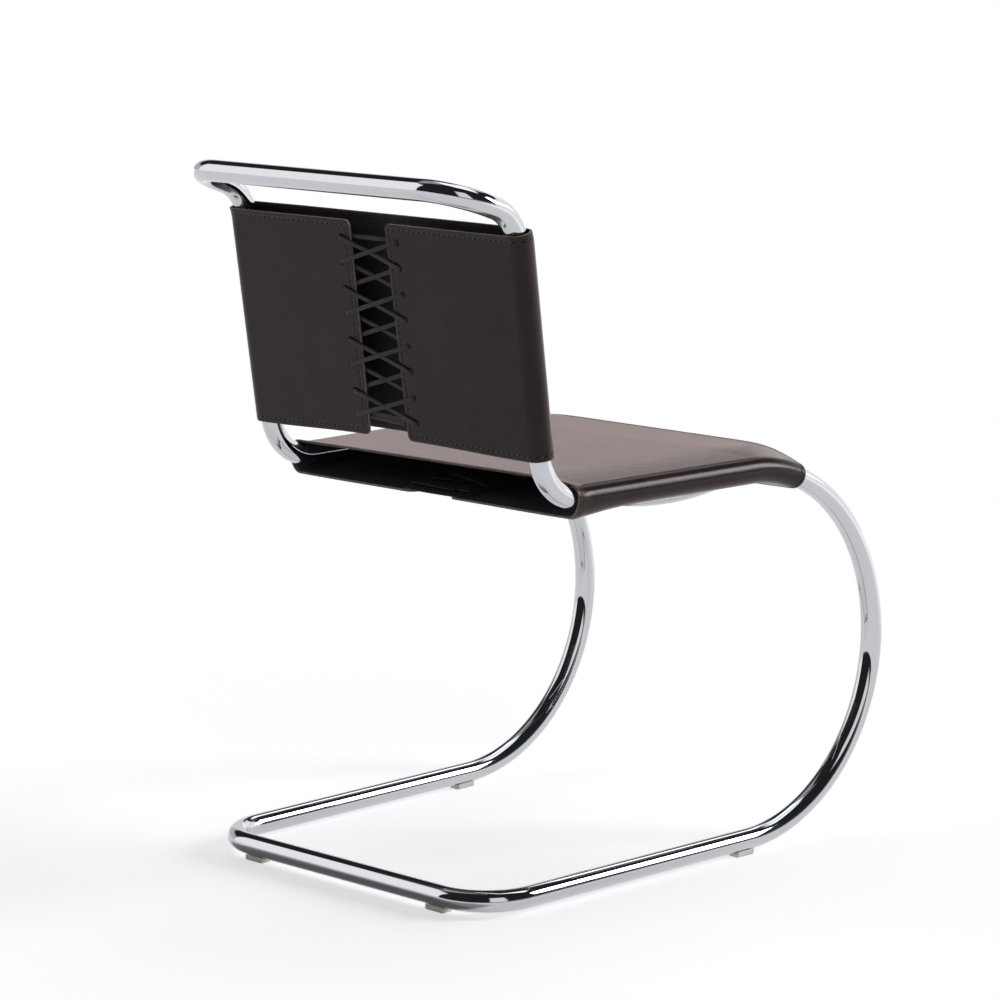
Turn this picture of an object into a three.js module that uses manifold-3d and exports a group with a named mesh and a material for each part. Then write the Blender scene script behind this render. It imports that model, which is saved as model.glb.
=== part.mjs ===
// Cantilever chair. One continuous line of bent steel tube, made as a lower and an upper half that
// meet on a sleeve inside each seat rail, carries a leather sling for the back and one for the seat.
// Each sling is a face leather on a lining, wrapped round both tubes and laced to itself out of the
// sitter's way. Millimetres, +Z up, the sitter faces -Y, and the floor is z = 0.
import * as THREE from 'three';
import { mergeVertices } from 'three/addons/utils/BufferGeometryUtils.js';
import Module from 'manifold-3d';

const wasm = await Module();
wasm.setup();

// Frame: the tube's centre line is a polyline with rounded corners, alike on both sides
const tubeDiameter = 25;
const tubeWall = 2;
const overallDepth = 705;
const baseOverhang = 96.5;
const baseWidthFront = 473;
const baseWidthRear = 448;
const backWidth = 437;
const seatRailHeight = 454;
const postTilt = THREE.MathUtils.degToRad(8.355);
const topRailRise = 30;
const topRailSetback = 87.5;
const baseCornerRadius = 65;
const rearBendRadius = 62;
const topBendRadius = 52;
const topCornerRadius = 51;

// Hidden joint in each seat rail, halfway along the leather
const sleeveLength = 120;
const sleeveWall = 2;
const jointScrewSpacing = 70;
const jointScrewLength = 8;
const jointScrewDiameter = 5;

// Screw heads are countersunk, and sit below the tube's surface under the leather
const headDiameterShare = 1.8;
const headHeightShare = 0.44;
const headSink = 1.3;

// Bowed stretcher under the seat, a little behind the front arcs
const stretcherDiameter = 12;
const stretcherBehindArc = 11.75;
const stretcherBow = 59;
const stretcherScrewDiameter = 5;
const stretcherScrewLength = 42;

// Floor pads
const padHeight = 5;
const padLength = 27;
const padWidth = 16;
const padEdge = 1.5;
const rearPadInset = 9;
const runnerPadBehindArc = 8.75;
const padScrewDiameter = 4;
const padScrewLength = 10;
const padHeadDiameter = 8;
const padHeadHeight = 2;
const padHeadSink = 0.8;

// Leather, its layers and the clearances between them
const faceThickness = 1.5;
const liningThickness = 1.15;
const fit = 0.35;
const layerGap = 0.2;

// Back sling, measured up the post from the corner of the tube's centre line. The post is as long as
// the sling and what it leaves free below and above
const backSlingBottom = 54.5;
const backSlingHeight = 252.5;
const backSlingTopGap = 16.4;
const backCornerRadius = 9;

// Seat sling: from round the front arc to a gap before the rail's rear corner, where it already stands
// on the bend, a little wider than the tube
const seatRearGap = 37;
const mouthEase = 1.7;
const frontWrapAngle = THREE.MathUtils.degToRad(21.4);
const frontPanelReach = 92;
const frontCrownAngle = THREE.MathUtils.degToRad(19);
const flapSag = 3;
const seatCornerRadius = 12;
const slotLength = 38;
const slotWidth = 17;
const slotSetIn = 31;

// The flat middle of a panel begins this far in from the tubes, and blends over to them
const panelBlend = 112;
const blendPull = 52;

// Lacing
const laceDiameter = 4.6;
const laceHoleDiameter = 6;
const laceHoleSpread = 93;
const flapGap = 58;
const laceBend = 3;
const laceClearance = 0.6;
const laceTail = 70;
const laceTailRise = 7;
const tailRunShares = [0.4, 1];
const tailRiseShares = [0.8, 1];
const backHoleMargin = 22;
const backHoleRows = 8;
const seatHoleMargin = 22;
const seatHoleRows = 12;

// Counts that set how finely round things are cut
const tubeSides = 18;
const boreSides = 8;
const roundSides = 12;
const arcSteps = 9;
const smallBendSteps = 5;
const wrapSteps = 9;
const blendSteps = 5;
const wrapStations = 3;
const laceSides = 5;
const bendSteps = 2;
const cornerSteps = 3;

// Cutters run past the faces that they cut by this much
const overrun = 5;

const tubeRadius = tubeDiameter / 2;
const boreRadius = tubeRadius - tubeWall;
const postLength = backSlingBottom + backSlingHeight + backSlingTopGap;
const postRise = postLength * Math.cos(postTilt);
const postLean = postLength * Math.sin(postTilt);
const baseHeight = padHeight + tubeRadius;
const topRailY = overallDepth / 2 - tubeRadius;
const topRailZ = seatRailHeight + postRise + topRailRise;
const postTopY = topRailY - topRailSetback;
const postTopZ = topRailZ - topRailRise;
const rearCornerY = postTopY - postLean;
const rearBaseY = rearCornerY + baseOverhang;
const frontY = -overallDepth / 2 + tubeRadius;
const seatRailLength = rearCornerY - frontY;
const baseDepth = rearBaseY - frontY;
const frontArcRadius = (seatRailHeight - baseHeight) / 2;
const arcCentreY = frontY + frontArcRadius;
const arcCentreZ = baseHeight + frontArcRadius;
const rearBendStart = rearCornerY - rearBendRadius * Math.tan((Math.PI / 2 - postTilt) / 2);
const seatRearY = rearCornerY - seatRearGap;
const seatSlingLength = seatRearY - arcCentreY;

const liningInner = tubeRadius + fit;
const liningOuter = liningInner + liningThickness;
const faceInner = liningOuter + layerGap;
const faceOuter = faceInner + faceThickness;

const X = new THREE.Vector3(1, 0, 0);
const Y = new THREE.Vector3(0, 1, 0);
const Z = new THREE.Vector3(0, 0, 1);
const postUp = new THREE.Vector3(0, Math.sin(postTilt), Math.cos(postTilt));
const postBack = new THREE.Vector3(0, Math.cos(postTilt), -Math.sin(postTilt));

// The seat rail's half width runs straight from the front to the rear corner
function railHalfWidth(y) {
	const along = (y - frontY) / seatRailLength;
	return THREE.MathUtils.lerp(baseWidthFront, backWidth, along) / 2;
}

function runnerHalfWidth(y) {
	const along = (y - frontY) / baseDepth;
	return THREE.MathUtils.lerp(baseWidthFront, baseWidthRear, along) / 2;
}

function railPoint(side, y) {
	return new THREE.Vector3(side * railHalfWidth(y), y, seatRailHeight);
}

// A path made of stations, each with a point and a tangent. A sweep has one ring at each station
class StationPath extends THREE.Curve {
	constructor(stations) {
		super();
		this.stations = stations;
	}

	get steps() {
		return this.stations.length - 1;
	}

	getPoint(t) {
		const place = t * this.steps;
		const before = Math.min(Math.floor(place), this.steps - 1);
		const [a, b] = [this.stations[before], this.stations[before + 1]];
		return new THREE.Vector3().lerpVectors(a.point, b.point, place - before);
	}

	getPointAt(u) {
		return this.getPoint(u);
	}

	getTangentAt(u) {
		return this.stations[Math.round(u * this.steps)].tangent.clone();
	}

	getSpacedPoints() {
		return this.stations.map((station) => station.point.clone());
	}
}

// Stations along a polyline whose inner corners are arcs of the given radii. Each arc has a station at
// each of its shares of the turn
function roundedRoute(corners, radii, turnShares) {
	const stations = [];
	const heading = (i) => corners[i + 1].clone().sub(corners[i]).normalize();
	stations.push({ point: corners[0].clone(), tangent: heading(0) });
	radii.forEach((radius, i) => {
		const [before, after] = [heading(i), heading(i + 1)];
		const turn = before.angleTo(after);
		const start = corners[i + 1].clone().addScaledVector(before, -radius * Math.tan(turn / 2));
		const inward = after.clone().addScaledVector(before, -after.dot(before)).normalize();
		for (const share of turnShares[i]) {
			const angle = turn * share;
			const point = start.clone().addScaledVector(before, radius * Math.sin(angle))
				.addScaledVector(inward, radius * (1 - Math.cos(angle)));
			const tangent = before.clone().multiplyScalar(Math.cos(angle)).addScaledVector(inward, Math.sin(angle));
			const last = stations[stations.length - 1];
			if (last.point.distanceTo(point) > fit) stations.push({ point, tangent });
		}
	});
	const end = corners.length - 1;
	stations.push({ point: corners[end].clone(), tangent: heading(end - 1) });
	return new StationPath(stations);
}

function evenShares(steps) {
	return Array.from({ length: steps + 1 }, (_, k) => k / steps);
}

function straightRoute(from, to) {
	return roundedRoute([from, to], [], []);
}

function ringPoints(radius, sides) {
	const points = [];
	for (let i = 0; i < sides; i++) {
		const angle = 2 * Math.PI * i / sides;
		points.push(new THREE.Vector2(radius * Math.cos(angle), radius * Math.sin(angle)));
	}
	return points;
}

// A radius that keeps a polygon's flats, not its corners, on the true circle
function roundBore(radius, sides) {
	return radius / Math.cos(Math.PI / sides);
}

function sweep(path, section) {
	return new THREE.ExtrudeGeometry(section, { steps: path.steps, extrudePath: path });
}

function sweptTube(path, outerRadius, innerRadius, sides) {
	const section = new THREE.Shape(ringPoints(outerRadius, sides));
	section.holes.push(new THREE.Path(ringPoints(roundBore(innerRadius, boreSides), boreSides)));
	return sweep(path, section);
}

function sweptRod(path, radius, sides) {
	return sweep(path, new THREE.Shape(ringPoints(radius, sides)));
}

// A turned piece stands on a place, along an axis. Its profile has [radius, height] pairs
function turned(profile, place, axis, sides = roundSides) {
	const geometry = new THREE.LatheGeometry(profile.map(([r, h]) => new THREE.Vector2(r, h)), sides);
	geometry.applyQuaternion(new THREE.Quaternion().setFromUnitVectors(Y, axis));
	return geometry.translate(place.x, place.y, place.z);
}

function cylinder(radius, from, to, sides = roundSides) {
	const axis = to.clone().sub(from);
	const length = axis.length();
	return turned([[0, 0], [radius, 0], [radius, length], [0, length]], from, axis.normalize(), sides);
}

function solid(geometry) {
	const bare = geometry.clone();
	bare.deleteAttribute('normal');
	bare.deleteAttribute('uv');
	const merged = mergeVertices(bare);
	return new wasm.Manifold(new wasm.Mesh({
		numProp: 3,
		vertProperties: merged.attributes.position.array,
		triVerts: new Uint32Array(merged.index.array),
	}));
}

function geometryOf(manifold) {
	const mesh = manifold.getMesh();
	const geometry = new THREE.BufferGeometry();
	geometry.setAttribute('position', new THREE.BufferAttribute(mesh.vertProperties, 3));
	geometry.setIndex(new THREE.BufferAttribute(mesh.triVerts, 1));
	const faceted = geometry.toNonIndexed();
	faceted.computeVertexNormals();
	return faceted;
}

function cut(geometry, cutters) {
	return geometryOf(cutters.reduce((rest, cutter) => rest.subtract(solid(cutter)), solid(geometry)));
}

// Screws

// A countersunk screw: its flat head lies at place, and its shank points along axis
function countersunkProfile(diameter, length, clearance = 0) {
	const shank = diameter / 2 + clearance;
	const head = diameter * headDiameterShare / 2 + clearance;
	const headHeight = diameter * headHeightShare + clearance;
	return [[0, 0], [head, 0], [shank, headHeight], [shank, length], [0, length]];
}

function countersunkScrew(diameter, length, surface, axis) {
	const place = surface.clone().addScaledVector(axis, headSink);
	return turned(countersunkProfile(diameter, length), place, axis);
}

// Its hole: the head's cone opens outwards through the surface, and the shank's bore runs on
function countersunkHole(diameter, length, surface, axis) {
	const place = surface.clone().addScaledVector(axis, headSink);
	const bore = turned(countersunkProfile(diameter, length + fit, fit), place, axis);
	const headRadius = diameter * headDiameterShare / 2 + fit;
	const mouth = cylinder(headRadius, surface.clone().addScaledVector(axis, -overrun), place);
	return [bore, mouth];
}

// Pads and what holds them

function padPlaces() {
	const runnerPadY = arcCentreY + runnerPadBehindArc;
	const rearPadX = baseWidthRear / 2 - baseCornerRadius - rearPadInset;
	const runnerHeading = new THREE.Vector3(baseWidthFront - baseWidthRear, -2 * baseDepth, 0).normalize();
	const places = [];
	for (const [side, name] of [[-1, 'left'], [1, 'right']]) {
		places.push({
			name: 'rear_' + name + '_pad',
			point: new THREE.Vector3(side * rearPadX, rearBaseY, 0),
			along: X.clone(),
		});
		places.push({
			name: 'runner_' + name + '_pad',
			point: new THREE.Vector3(side * runnerHalfWidth(runnerPadY), runnerPadY, 0),
			along: runnerHeading.clone().multiply(new THREE.Vector3(side, 1, 1)),
		});
	}
	return places;
}

// The pad's outline across the tube: flat underneath, a saddle for the tube on top
function padOutline() {
	const saddle = roundBore(tubeRadius + fit, tubeSides);
	const half = padWidth / 2;
	const shoulder = baseHeight - Math.sqrt(saddle ** 2 - half ** 2);
	const outline = new THREE.Shape();
	outline.moveTo(-half + padEdge, 0);
	outline.lineTo(half - padEdge, 0);
	outline.lineTo(half, padEdge);
	outline.lineTo(half, shoulder);
	const reach = Math.asin(half / saddle);
	outline.absarc(0, baseHeight, saddle, -Math.PI / 2 + reach, -Math.PI / 2 - reach, true);
	outline.lineTo(-half, padEdge);
	outline.closePath();
	return outline;
}

function padScrewProfile(clearance = 0) {
	const [shank, head] = [padScrewDiameter / 2 + clearance, padHeadDiameter / 2 + clearance];
	const headTop = padHeadHeight + clearance;
	const tip = padScrewLength;
	return [[0, 0], [head, 0], [head, headTop], [shank, headTop], [shank, tip], [0, tip]];
}

function padScrew(place) {
	return turned(padScrewProfile(), place.point.clone().setZ(padHeadSink), Z);
}

function padScrewHole(place, bottom) {
	const bore = turned(padScrewProfile(fit), place.point.clone().setZ(padHeadSink), Z);
	const mouth = cylinder(padHeadDiameter / 2 + fit, place.point.clone().setZ(bottom),
		place.point.clone().setZ(padHeadSink + fit));
	return [bore, mouth];
}

function pad(place) {
	const options = { depth: padLength, bevelEnabled: false, curveSegments: cornerSteps };
	const geometry = new THREE.ExtrudeGeometry(padOutline(), options);
	geometry.translate(0, 0, -padLength / 2);
	const across = new THREE.Vector3().crossVectors(Z, place.along);
	geometry.applyMatrix4(new THREE.Matrix4().makeBasis(across, Z, place.along));
	geometry.translate(place.point.x, place.point.y, 0);
	return cut(geometry, padScrewHole(place, -overrun));
}

// Stretcher: an arc between the rails' centre lines, coped to the tubes, with a tapped bore each end

const stretcherY = arcCentreY + stretcherBehindArc;
const stretcherHalfSpan = railHalfWidth(stretcherY);
const stretcherRadius = (stretcherHalfSpan ** 2 + stretcherBow ** 2) / (2 * stretcherBow);
const stretcherEndAngle = Math.asin(stretcherHalfSpan / stretcherRadius);

function stretcherPath() {
	const stations = [];
	for (let k = 0; k <= 2 * arcSteps; k++) {
		const angle = THREE.MathUtils.lerp(-stretcherEndAngle, stretcherEndAngle, k / (2 * arcSteps));
		const rise = stretcherRadius * (Math.cos(angle) - Math.cos(stretcherEndAngle));
		stations.push({
			point: new THREE.Vector3(stretcherRadius * Math.sin(angle), stretcherY, seatRailHeight - rise),
			tangent: new THREE.Vector3(Math.cos(angle), 0, Math.sin(angle)),
		});
	}
	return new StationPath(stations);
}

// The screw enters the far side of the rail and points down the stretcher's end
function stretcherScrewSeat(side) {
	const axis = new THREE.Vector3(-side * Math.cos(stretcherEndAngle), 0, -Math.sin(stretcherEndAngle));
	const surface = railPoint(side, stretcherY).addScaledVector(axis, -tubeRadius);
	return [surface, axis];
}

function stretcherScrewHole(side) {
	return countersunkHole(stretcherScrewDiameter, stretcherScrewLength, ...stretcherScrewSeat(side));
}

function railCutter(side, radius) {
	const reach = overrun + stretcherDiameter;
	const [from, to] = [railPoint(side, stretcherY - reach), railPoint(side, stretcherY + reach)];
	return cylinder(roundBore(radius, tubeSides), from, to, tubeSides);
}

function stretcher() {
	const rod = sweptRod(stretcherPath(), stretcherDiameter / 2, roundSides);
	const copes = [-1, 1].map((side) => railCutter(side, tubeRadius + fit));
	return cut(rod, [...copes, ...[-1, 1].flatMap(stretcherScrewHole)]);
}

// Frame halves and the joint between them

const jointY = arcCentreY + seatSlingLength / 2;

function jointScrewSeats(side) {
	return [-1, 1].map((end) => {
		const surface = railPoint(side, jointY + end * jointScrewSpacing / 2);
		return [surface.addScaledVector(Z, -tubeRadius), Z];
	});
}

function jointScrewHoles(side) {
	const seats = jointScrewSeats(side);
	return seats.flatMap((seat) => countersunkHole(jointScrewDiameter, jointScrewLength, ...seat));
}

// The whole frame's route from its left half: the corners, and the radius and shares of each turn
function mirroredRoute(corners, radii, turnShares) {
	const across = corners.map((corner) => corner.clone().setX(-corner.x));
	const mirroredShares = turnShares.map((shares) => shares.map((share) => 1 - share).toReversed());
	return roundedRoute(
		[...corners, ...across.toReversed()],
		[...radii, ...radii.toReversed()],
		[...turnShares, ...mirroredShares.toReversed()],
	);
}

// The front arc has the seat leather's stations as far as the leather goes
function frontArcShares() {
	const wrapped = frontWrapAngle / (Math.PI / 2);
	const under = evenShares(wrapStations).map((share) => share * wrapped);
	const beyond = evenShares(arcSteps - wrapStations).map((share) => THREE.MathUtils.lerp(wrapped, 1, share));
	return [...under, ...beyond.slice(1)];
}

function lowerFrameTube() {
	const left = [
		railPoint(-1, jointY),
		new THREE.Vector3(-baseWidthFront / 2, frontY, seatRailHeight),
		new THREE.Vector3(-baseWidthFront / 2, frontY, baseHeight),
		new THREE.Vector3(-baseWidthRear / 2, rearBaseY, baseHeight),
	];
	const radii = [frontArcRadius, frontArcRadius, baseCornerRadius];
	const turnShares = [frontArcShares(), evenShares(arcSteps), evenShares(smallBendSteps)];
	const path = mirroredRoute(left, radii, turnShares);
	const tube = sweptTube(path, tubeRadius, boreRadius, tubeSides);
	const holes = [-1, 1].flatMap((side) => [...stretcherScrewHole(side), ...jointScrewHoles(side)]);
	const padHoles = padPlaces().flatMap((place) => padScrewHole(place, 0));
	return cut(tube, [...holes, ...padHoles]);
}

function upperFrameTube() {
	const left = [
		railPoint(-1, jointY).addScaledVector(Y, fit),
		railPoint(-1, rearCornerY),
		new THREE.Vector3(-backWidth / 2, postTopY, postTopZ),
		new THREE.Vector3(-backWidth / 2, topRailY, topRailZ),
	];
	const radii = [rearBendRadius, topBendRadius, topCornerRadius];
	const path = mirroredRoute(left, radii, radii.map(() => evenShares(smallBendSteps)));
	const tube = sweptTube(path, tubeRadius, boreRadius, tubeSides);
	return cut(tube, [-1, 1].flatMap(jointScrewHoles));
}

function jointSleeve(side) {
	const [from, to] = [-1, 1].map((end) => railPoint(side, jointY + end * sleeveLength / 2));
	const path = straightRoute(from, to);
	const outer = boreRadius - fit;
	return cut(sweptTube(path, outer, outer - sleeveWall, roundSides), jointScrewHoles(side));
}

// Slings. A sling is a closed loop of leather round both tubes, cut open along the middle of the side
// away from the sitter. A station holds the tube's centre (rail), the way towards the sitter (normal),
// the panel's middle and the flap's middle, both as points on the loop of no thickness and directions.

// Half of the loop at a reach from the tube's centre: panel, then wrap, then flap
function halfLoop(station, reach) {
	const { rail, normal, panel, flap, crown, widen, stretch } = station;
	const wrapReach = roundBore(reach, 2 * wrapSteps);
	const around = (angle) => rail.clone().addScaledVector(X, wrapReach * widen * Math.sin(angle))
		.addScaledVector(normal, wrapReach * stretch * Math.cos(angle));
	const start = around(crown);
	const leaving = X.clone().multiplyScalar(-Math.cos(crown)).addScaledVector(normal, Math.sin(crown));
	const edge = panel.point.clone().addScaledVector(panel.normal, reach);
	const blend = new THREE.CubicBezierCurve3(
		edge,
		edge.clone().addScaledVector(X, blendPull),
		start.clone().addScaledVector(leaving, blendPull),
		start,
	);
	const middle = edge.clone().setX(0);
	const points = [middle, ...blend.getPoints(blendSteps)];
	const angles = evenShares(wrapSteps).slice(1).map((share) => THREE.MathUtils.lerp(crown, Math.PI, share));
	const wrap = angles.map(around);
	const end = flap.point.clone().addScaledVector(flap.normal, reach);
	return [...points, ...wrap, end];
}

function slingLoop(station, reach) {
	const right = halfLoop(station, reach);
	const left = right.slice(1, -1).reverse().map((point) => point.clone().setX(-point.x));
	return [...right, ...left];
}

// A closed skin between the loops at an outer and an inner reach, through every station. Seen from
// the sitter's side with +X to the right, the stations run upwards
function slingLayer(stations, innerReach, outerReach) {
	const reaches = [outerReach, innerReach];
	const rings = stations.map((station) => reaches.flatMap((reach) => slingLoop(station, reach)));
	const size = rings[0].length;
	const around = size / 2;
	const positions = rings.flat().flatMap((point) => point.toArray());
	// Both faces of the layer split their quads along the same diagonal, so layers never cross
	const faces = [];
	const quad = (a, b, c, d) => faces.push(a, b, c, a, c, d);
	const quadTurned = (a, b, c, d) => faces.push(a, c, b, a, d, c);
	for (let i = 0; i < around; i++) {
		const next = (i + 1) % around;
		for (let k = 0; k + 1 < rings.length; k++) {
			const [low, high] = [k * size, (k + 1) * size];
			quad(low + i, low + next, high + next, high + i);
			quadTurned(low + around + i, low + around + next, high + around + next, high + around + i);
		}
		const last = (rings.length - 1) * size;
		quad(next, i, around + i, around + next);
		quad(last + i, last + next, last + around + next, last + around + i);
	}
	const geometry = new THREE.BufferGeometry();
	geometry.setAttribute('position', new THREE.Float32BufferAttribute(positions, 3));
	geometry.setIndex(faces);
	return geometry;
}

// The strip between the two flaps, with the flaps' corners rounded off at both ends
function gapOutline(start, end, cornerRadius) {
	const half = flapGap / 2;
	const outline = new THREE.Shape();
	outline.moveTo(-half - cornerRadius, start - overrun);
	outline.lineTo(half + cornerRadius, start - overrun);
	outline.lineTo(half + cornerRadius, start);
	outline.absarc(half + cornerRadius, start + cornerRadius, cornerRadius, -Math.PI / 2, -Math.PI, true);
	outline.absarc(half + cornerRadius, end - cornerRadius, cornerRadius, Math.PI, Math.PI / 2, true);
	outline.lineTo(half + cornerRadius, end + overrun);
	outline.lineTo(-half - cornerRadius, end + overrun);
	outline.lineTo(-half - cornerRadius, end);
	outline.absarc(-half - cornerRadius, end - cornerRadius, cornerRadius, Math.PI / 2, 0, true);
	outline.absarc(-half - cornerRadius, start + cornerRadius, cornerRadius, 0, -Math.PI / 2, true);
	outline.closePath();
	return outline;
}

function prism(outline, depth, matrix) {
	const options = { depth, bevelEnabled: false, curveSegments: cornerSteps };
	return new THREE.ExtrudeGeometry(outline, options).applyMatrix4(matrix);
}

// Rows of lace holes: each row has a middle point on the tubes' centre plane and the outward direction
function holeCutters(rows) {
	const radius = roundBore(laceHoleDiameter / 2, laceSides);
	return rows.flatMap((row) => [-1, 1].map((side) => {
		const from = rowPoint(row, side * laceHoleSpread / 2, liningInner - overrun);
		return cylinder(radius, from, rowPoint(row, side * laceHoleSpread / 2, faceOuter + overrun), laceSides);
	}));
}

function rowPoint(row, x, level) {
	const drop = row.sag * (1 - Math.abs(x) / row.halfWidth);
	return row.point.clone().setX(x).addScaledVector(row.out, level + drop);
}

// Back sling

function postPoint(x, back, up) {
	const corner = new THREE.Vector3(x, rearCornerY, seatRailHeight);
	return corner.addScaledVector(postBack, back).addScaledVector(postUp, up);
}

// The tube leaves the post's line at its top bend, inside the sling's upper edge
function backStations() {
	const turn = Math.atan2(postRise, postLean) - Math.atan2(topRailRise, topRailSetback);
	const bendStart = postLength - topBendRadius * Math.tan(turn / 2);
	const top = backSlingBottom + backSlingHeight;
	const heights = [backSlingBottom, bendStart, (bendStart + top) / 2, top];
	return heights.map((up) => {
		const tilt = Math.asin(Math.max(0, up - bendStart) / topBendRadius);
		return {
			rail: postPoint(backWidth / 2, topBendRadius * (1 - Math.cos(tilt)), up),
			normal: postBack.clone().negate(),
			panel: { point: postPoint(backWidth / 2 - panelBlend, 0, up), normal: postBack.clone().negate() },
			flap: { point: postPoint(0, 0, up), normal: postBack },
			crown: 0,
			widen: 1,
			stretch: 1 / Math.cos(tilt),
		};
	});
}

function backRows() {
	const pitch = (backSlingHeight - 2 * backHoleMargin) / (backHoleRows - 1);
	return Array.from({ length: backHoleRows }, (_, i) => ({
		point: postPoint(0, 0, backSlingBottom + backSlingHeight - backHoleMargin - i * pitch),
		out: postBack,
		sag: 0,
		halfWidth: backWidth / 2,
	}));
}

function backLayer(innerReach, outerReach) {
	const outline = gapOutline(backSlingBottom, backSlingBottom + backSlingHeight, backCornerRadius);
	const origin = postPoint(0, liningInner - overrun, 0);
	const matrix = new THREE.Matrix4().makeBasis(X.clone().negate(), postUp, postBack).setPosition(origin);
	const gap = prism(outline, faceOuter - liningInner + 2 * overrun, matrix);
	return cut(slingLayer(backStations(), innerReach, outerReach), [gap, ...holeCutters(backRows())]);
}

// Seat sling

// Where the seat's loop stands: on the straight rail, round the front arc by an angle, or on the rear
// bend, where the loop rises with the tube and stands wider towards its edge
function seatStation(y, angle) {
	const pastStart = Math.max(0, y - rearBendStart);
	const rise = rearBendRadius * (1 - Math.cos(Math.asin(pastStart / rearBendRadius)));
	const ease = 1 + mouthEase / liningInner * pastStart / Math.max(fit, seatRearY - rearBendStart);
	const rail = new THREE.Vector3(0, y - frontArcRadius * Math.sin(angle), 0);
	rail.z = arcCentreZ + frontArcRadius * Math.cos(angle) + rise;
	rail.x = railHalfWidth(rail.y);
	const normal = new THREE.Vector3(0, -Math.sin(angle), Math.cos(angle));
	const share = angle / frontWrapAngle;
	const panelY = y - share * frontPanelReach;
	const panelEdge = new THREE.Vector3(rail.x - panelBlend, panelY, seatRailHeight + rise);
	const flapMiddle = rail.clone().setX(0).addScaledVector(normal, -flapSag - rise);
	return {
		rail,
		normal,
		panel: { point: panelEdge, normal: Z.clone().multiplyScalar(ease) },
		flap: { point: flapMiddle, normal: normal.clone().negate() },
		crown: share * frontCrownAngle,
		widen: ease,
		stretch: ease,
	};
}

function seatStations() {
	const rear = [Math.min(rearBendStart, seatRearY - fit), seatRearY].map((y) => seatStation(y, 0));
	const front = evenShares(wrapStations).map((share) => seatStation(arcCentreY, frontWrapAngle * share));
	return [...front.toReversed(), ...rear];
}

// Rows of holes stand at even distances along the rail's centre line, on the flat faces that the flaps
// have between stations
function seatRows() {
	const length = seatSlingLength + frontArcRadius * frontWrapAngle;
	const pitch = (length - 2 * seatHoleMargin) / (seatHoleRows - 1);
	const place = (past) => {
		if (past <= 0) return seatStation(arcCentreY - past, 0);
		const share = past / (frontArcRadius * frontWrapAngle) * wrapStations;
		const [before, after] = [Math.floor(share), Math.ceil(share)]
			.map((k) => seatStation(arcCentreY, frontWrapAngle * k / wrapStations));
		const rail = before.rail.lerp(after.rail, share % 1);
		return { rail, normal: before.normal.lerp(after.normal, share % 1).normalize() };
	};
	return Array.from({ length: seatHoleRows }, (_, i) => {
		const { rail, normal } = place(seatHoleMargin + i * pitch - seatSlingLength);
		return { point: rail.clone().setX(0), out: normal.negate(), sag: flapSag, halfWidth: rail.x };
	});
}

// The stretcher's ends pass through a slot in each flap
function slotCutter(side) {
	const [length, half] = [slotLength / 2 - slotWidth / 2, slotWidth / 2];
	const outline = new THREE.Shape();
	outline.absarc(length, 0, half, -Math.PI / 2, Math.PI / 2, false);
	outline.absarc(-length, 0, half, Math.PI / 2, 3 * Math.PI / 2, false);
	outline.closePath();
	const bottom = seatRailHeight - faceOuter - flapSag - overrun;
	const matrix = new THREE.Matrix4().setPosition(side * (stretcherHalfSpan - slotSetIn), stretcherY, bottom);
	return prism(outline, faceOuter + flapSag + overrun - fit, matrix);
}

function seatLayer(innerReach, outerReach) {
	const front = arcCentreY - frontArcRadius * Math.sin(frontWrapAngle);
	const depth = faceOuter + flapSag + overrun;
	const drop = frontArcRadius * (1 - Math.cos(frontWrapAngle));
	const matrix = new THREE.Matrix4().setPosition(0, 0, seatRailHeight - depth - drop);
	const gap = prism(gapOutline(front, seatRearY, seatCornerRadius), depth + drop - overrun, matrix);
	const cutters = [gap, ...holeCutters(seatRows()), slotCutter(-1), slotCutter(1)];
	return cut(slingLayer(seatStations(), innerReach, outerReach), cutters);
}

// Lacing. One thong is laced from its middle: a straight bar inside between the first two holes, then
// crosses outside and inside by turns down the rows, and both tails end inside along the last row.
// Of two crossing strands the one that runs on towards +X passes on the outer side.

// A quarter turn from straight out of a hole into the way along the leather
function holeBend(root, out, along) {
	return evenShares(bendSteps).map((share) => {
		const angle = share * Math.PI / 2;
		return {
			point: root.clone().addScaledVector(along, laceBend * (1 - Math.cos(angle)))
				.addScaledVector(out, laceBend * Math.sin(angle)),
			tangent: along.clone().multiplyScalar(Math.sin(angle)).addScaledVector(out, Math.cos(angle)),
		};
	});
}

function backwards(stations) {
	return stations.toReversed().map(({ point, tangent }) => ({ point, tangent: tangent.clone().negate() }));
}

// The stations of one strand, from hole to hole, on the outside or the inside of the flaps
function strandStations(from, to, level, bulge) {
	const sign = level > faceOuter ? 1 : -1;
	const root = level - sign * laceBend;
	const start = rowPoint(from.row, from.x, root);
	const end = rowPoint(to.row, to.x, root);
	const along = end.clone().sub(start).normalize();
	const stations = [];
	if (bulge !== 0) {
		const place = (x, lift) => {
			const share = (x - from.x) / (to.x - from.x);
			const [above, below] = [from, to].map(({ row }) => rowPoint(row, x, level + lift));
			stations.push({ point: above.lerp(below, share), tangent: along.clone() });
		};
		const edge = Math.sign(from.x) * flapGap / 2;
		place(edge, 0);
		place(0, bulge);
		place(-edge, 0);
	}
	const leave = holeBend(start, from.row.out.clone().multiplyScalar(sign), along);
	const enter = holeBend(end, to.row.out.clone().multiplyScalar(sign), along.clone().negate());
	return [...leave, ...stations, ...backwards(enter)];
}

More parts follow.
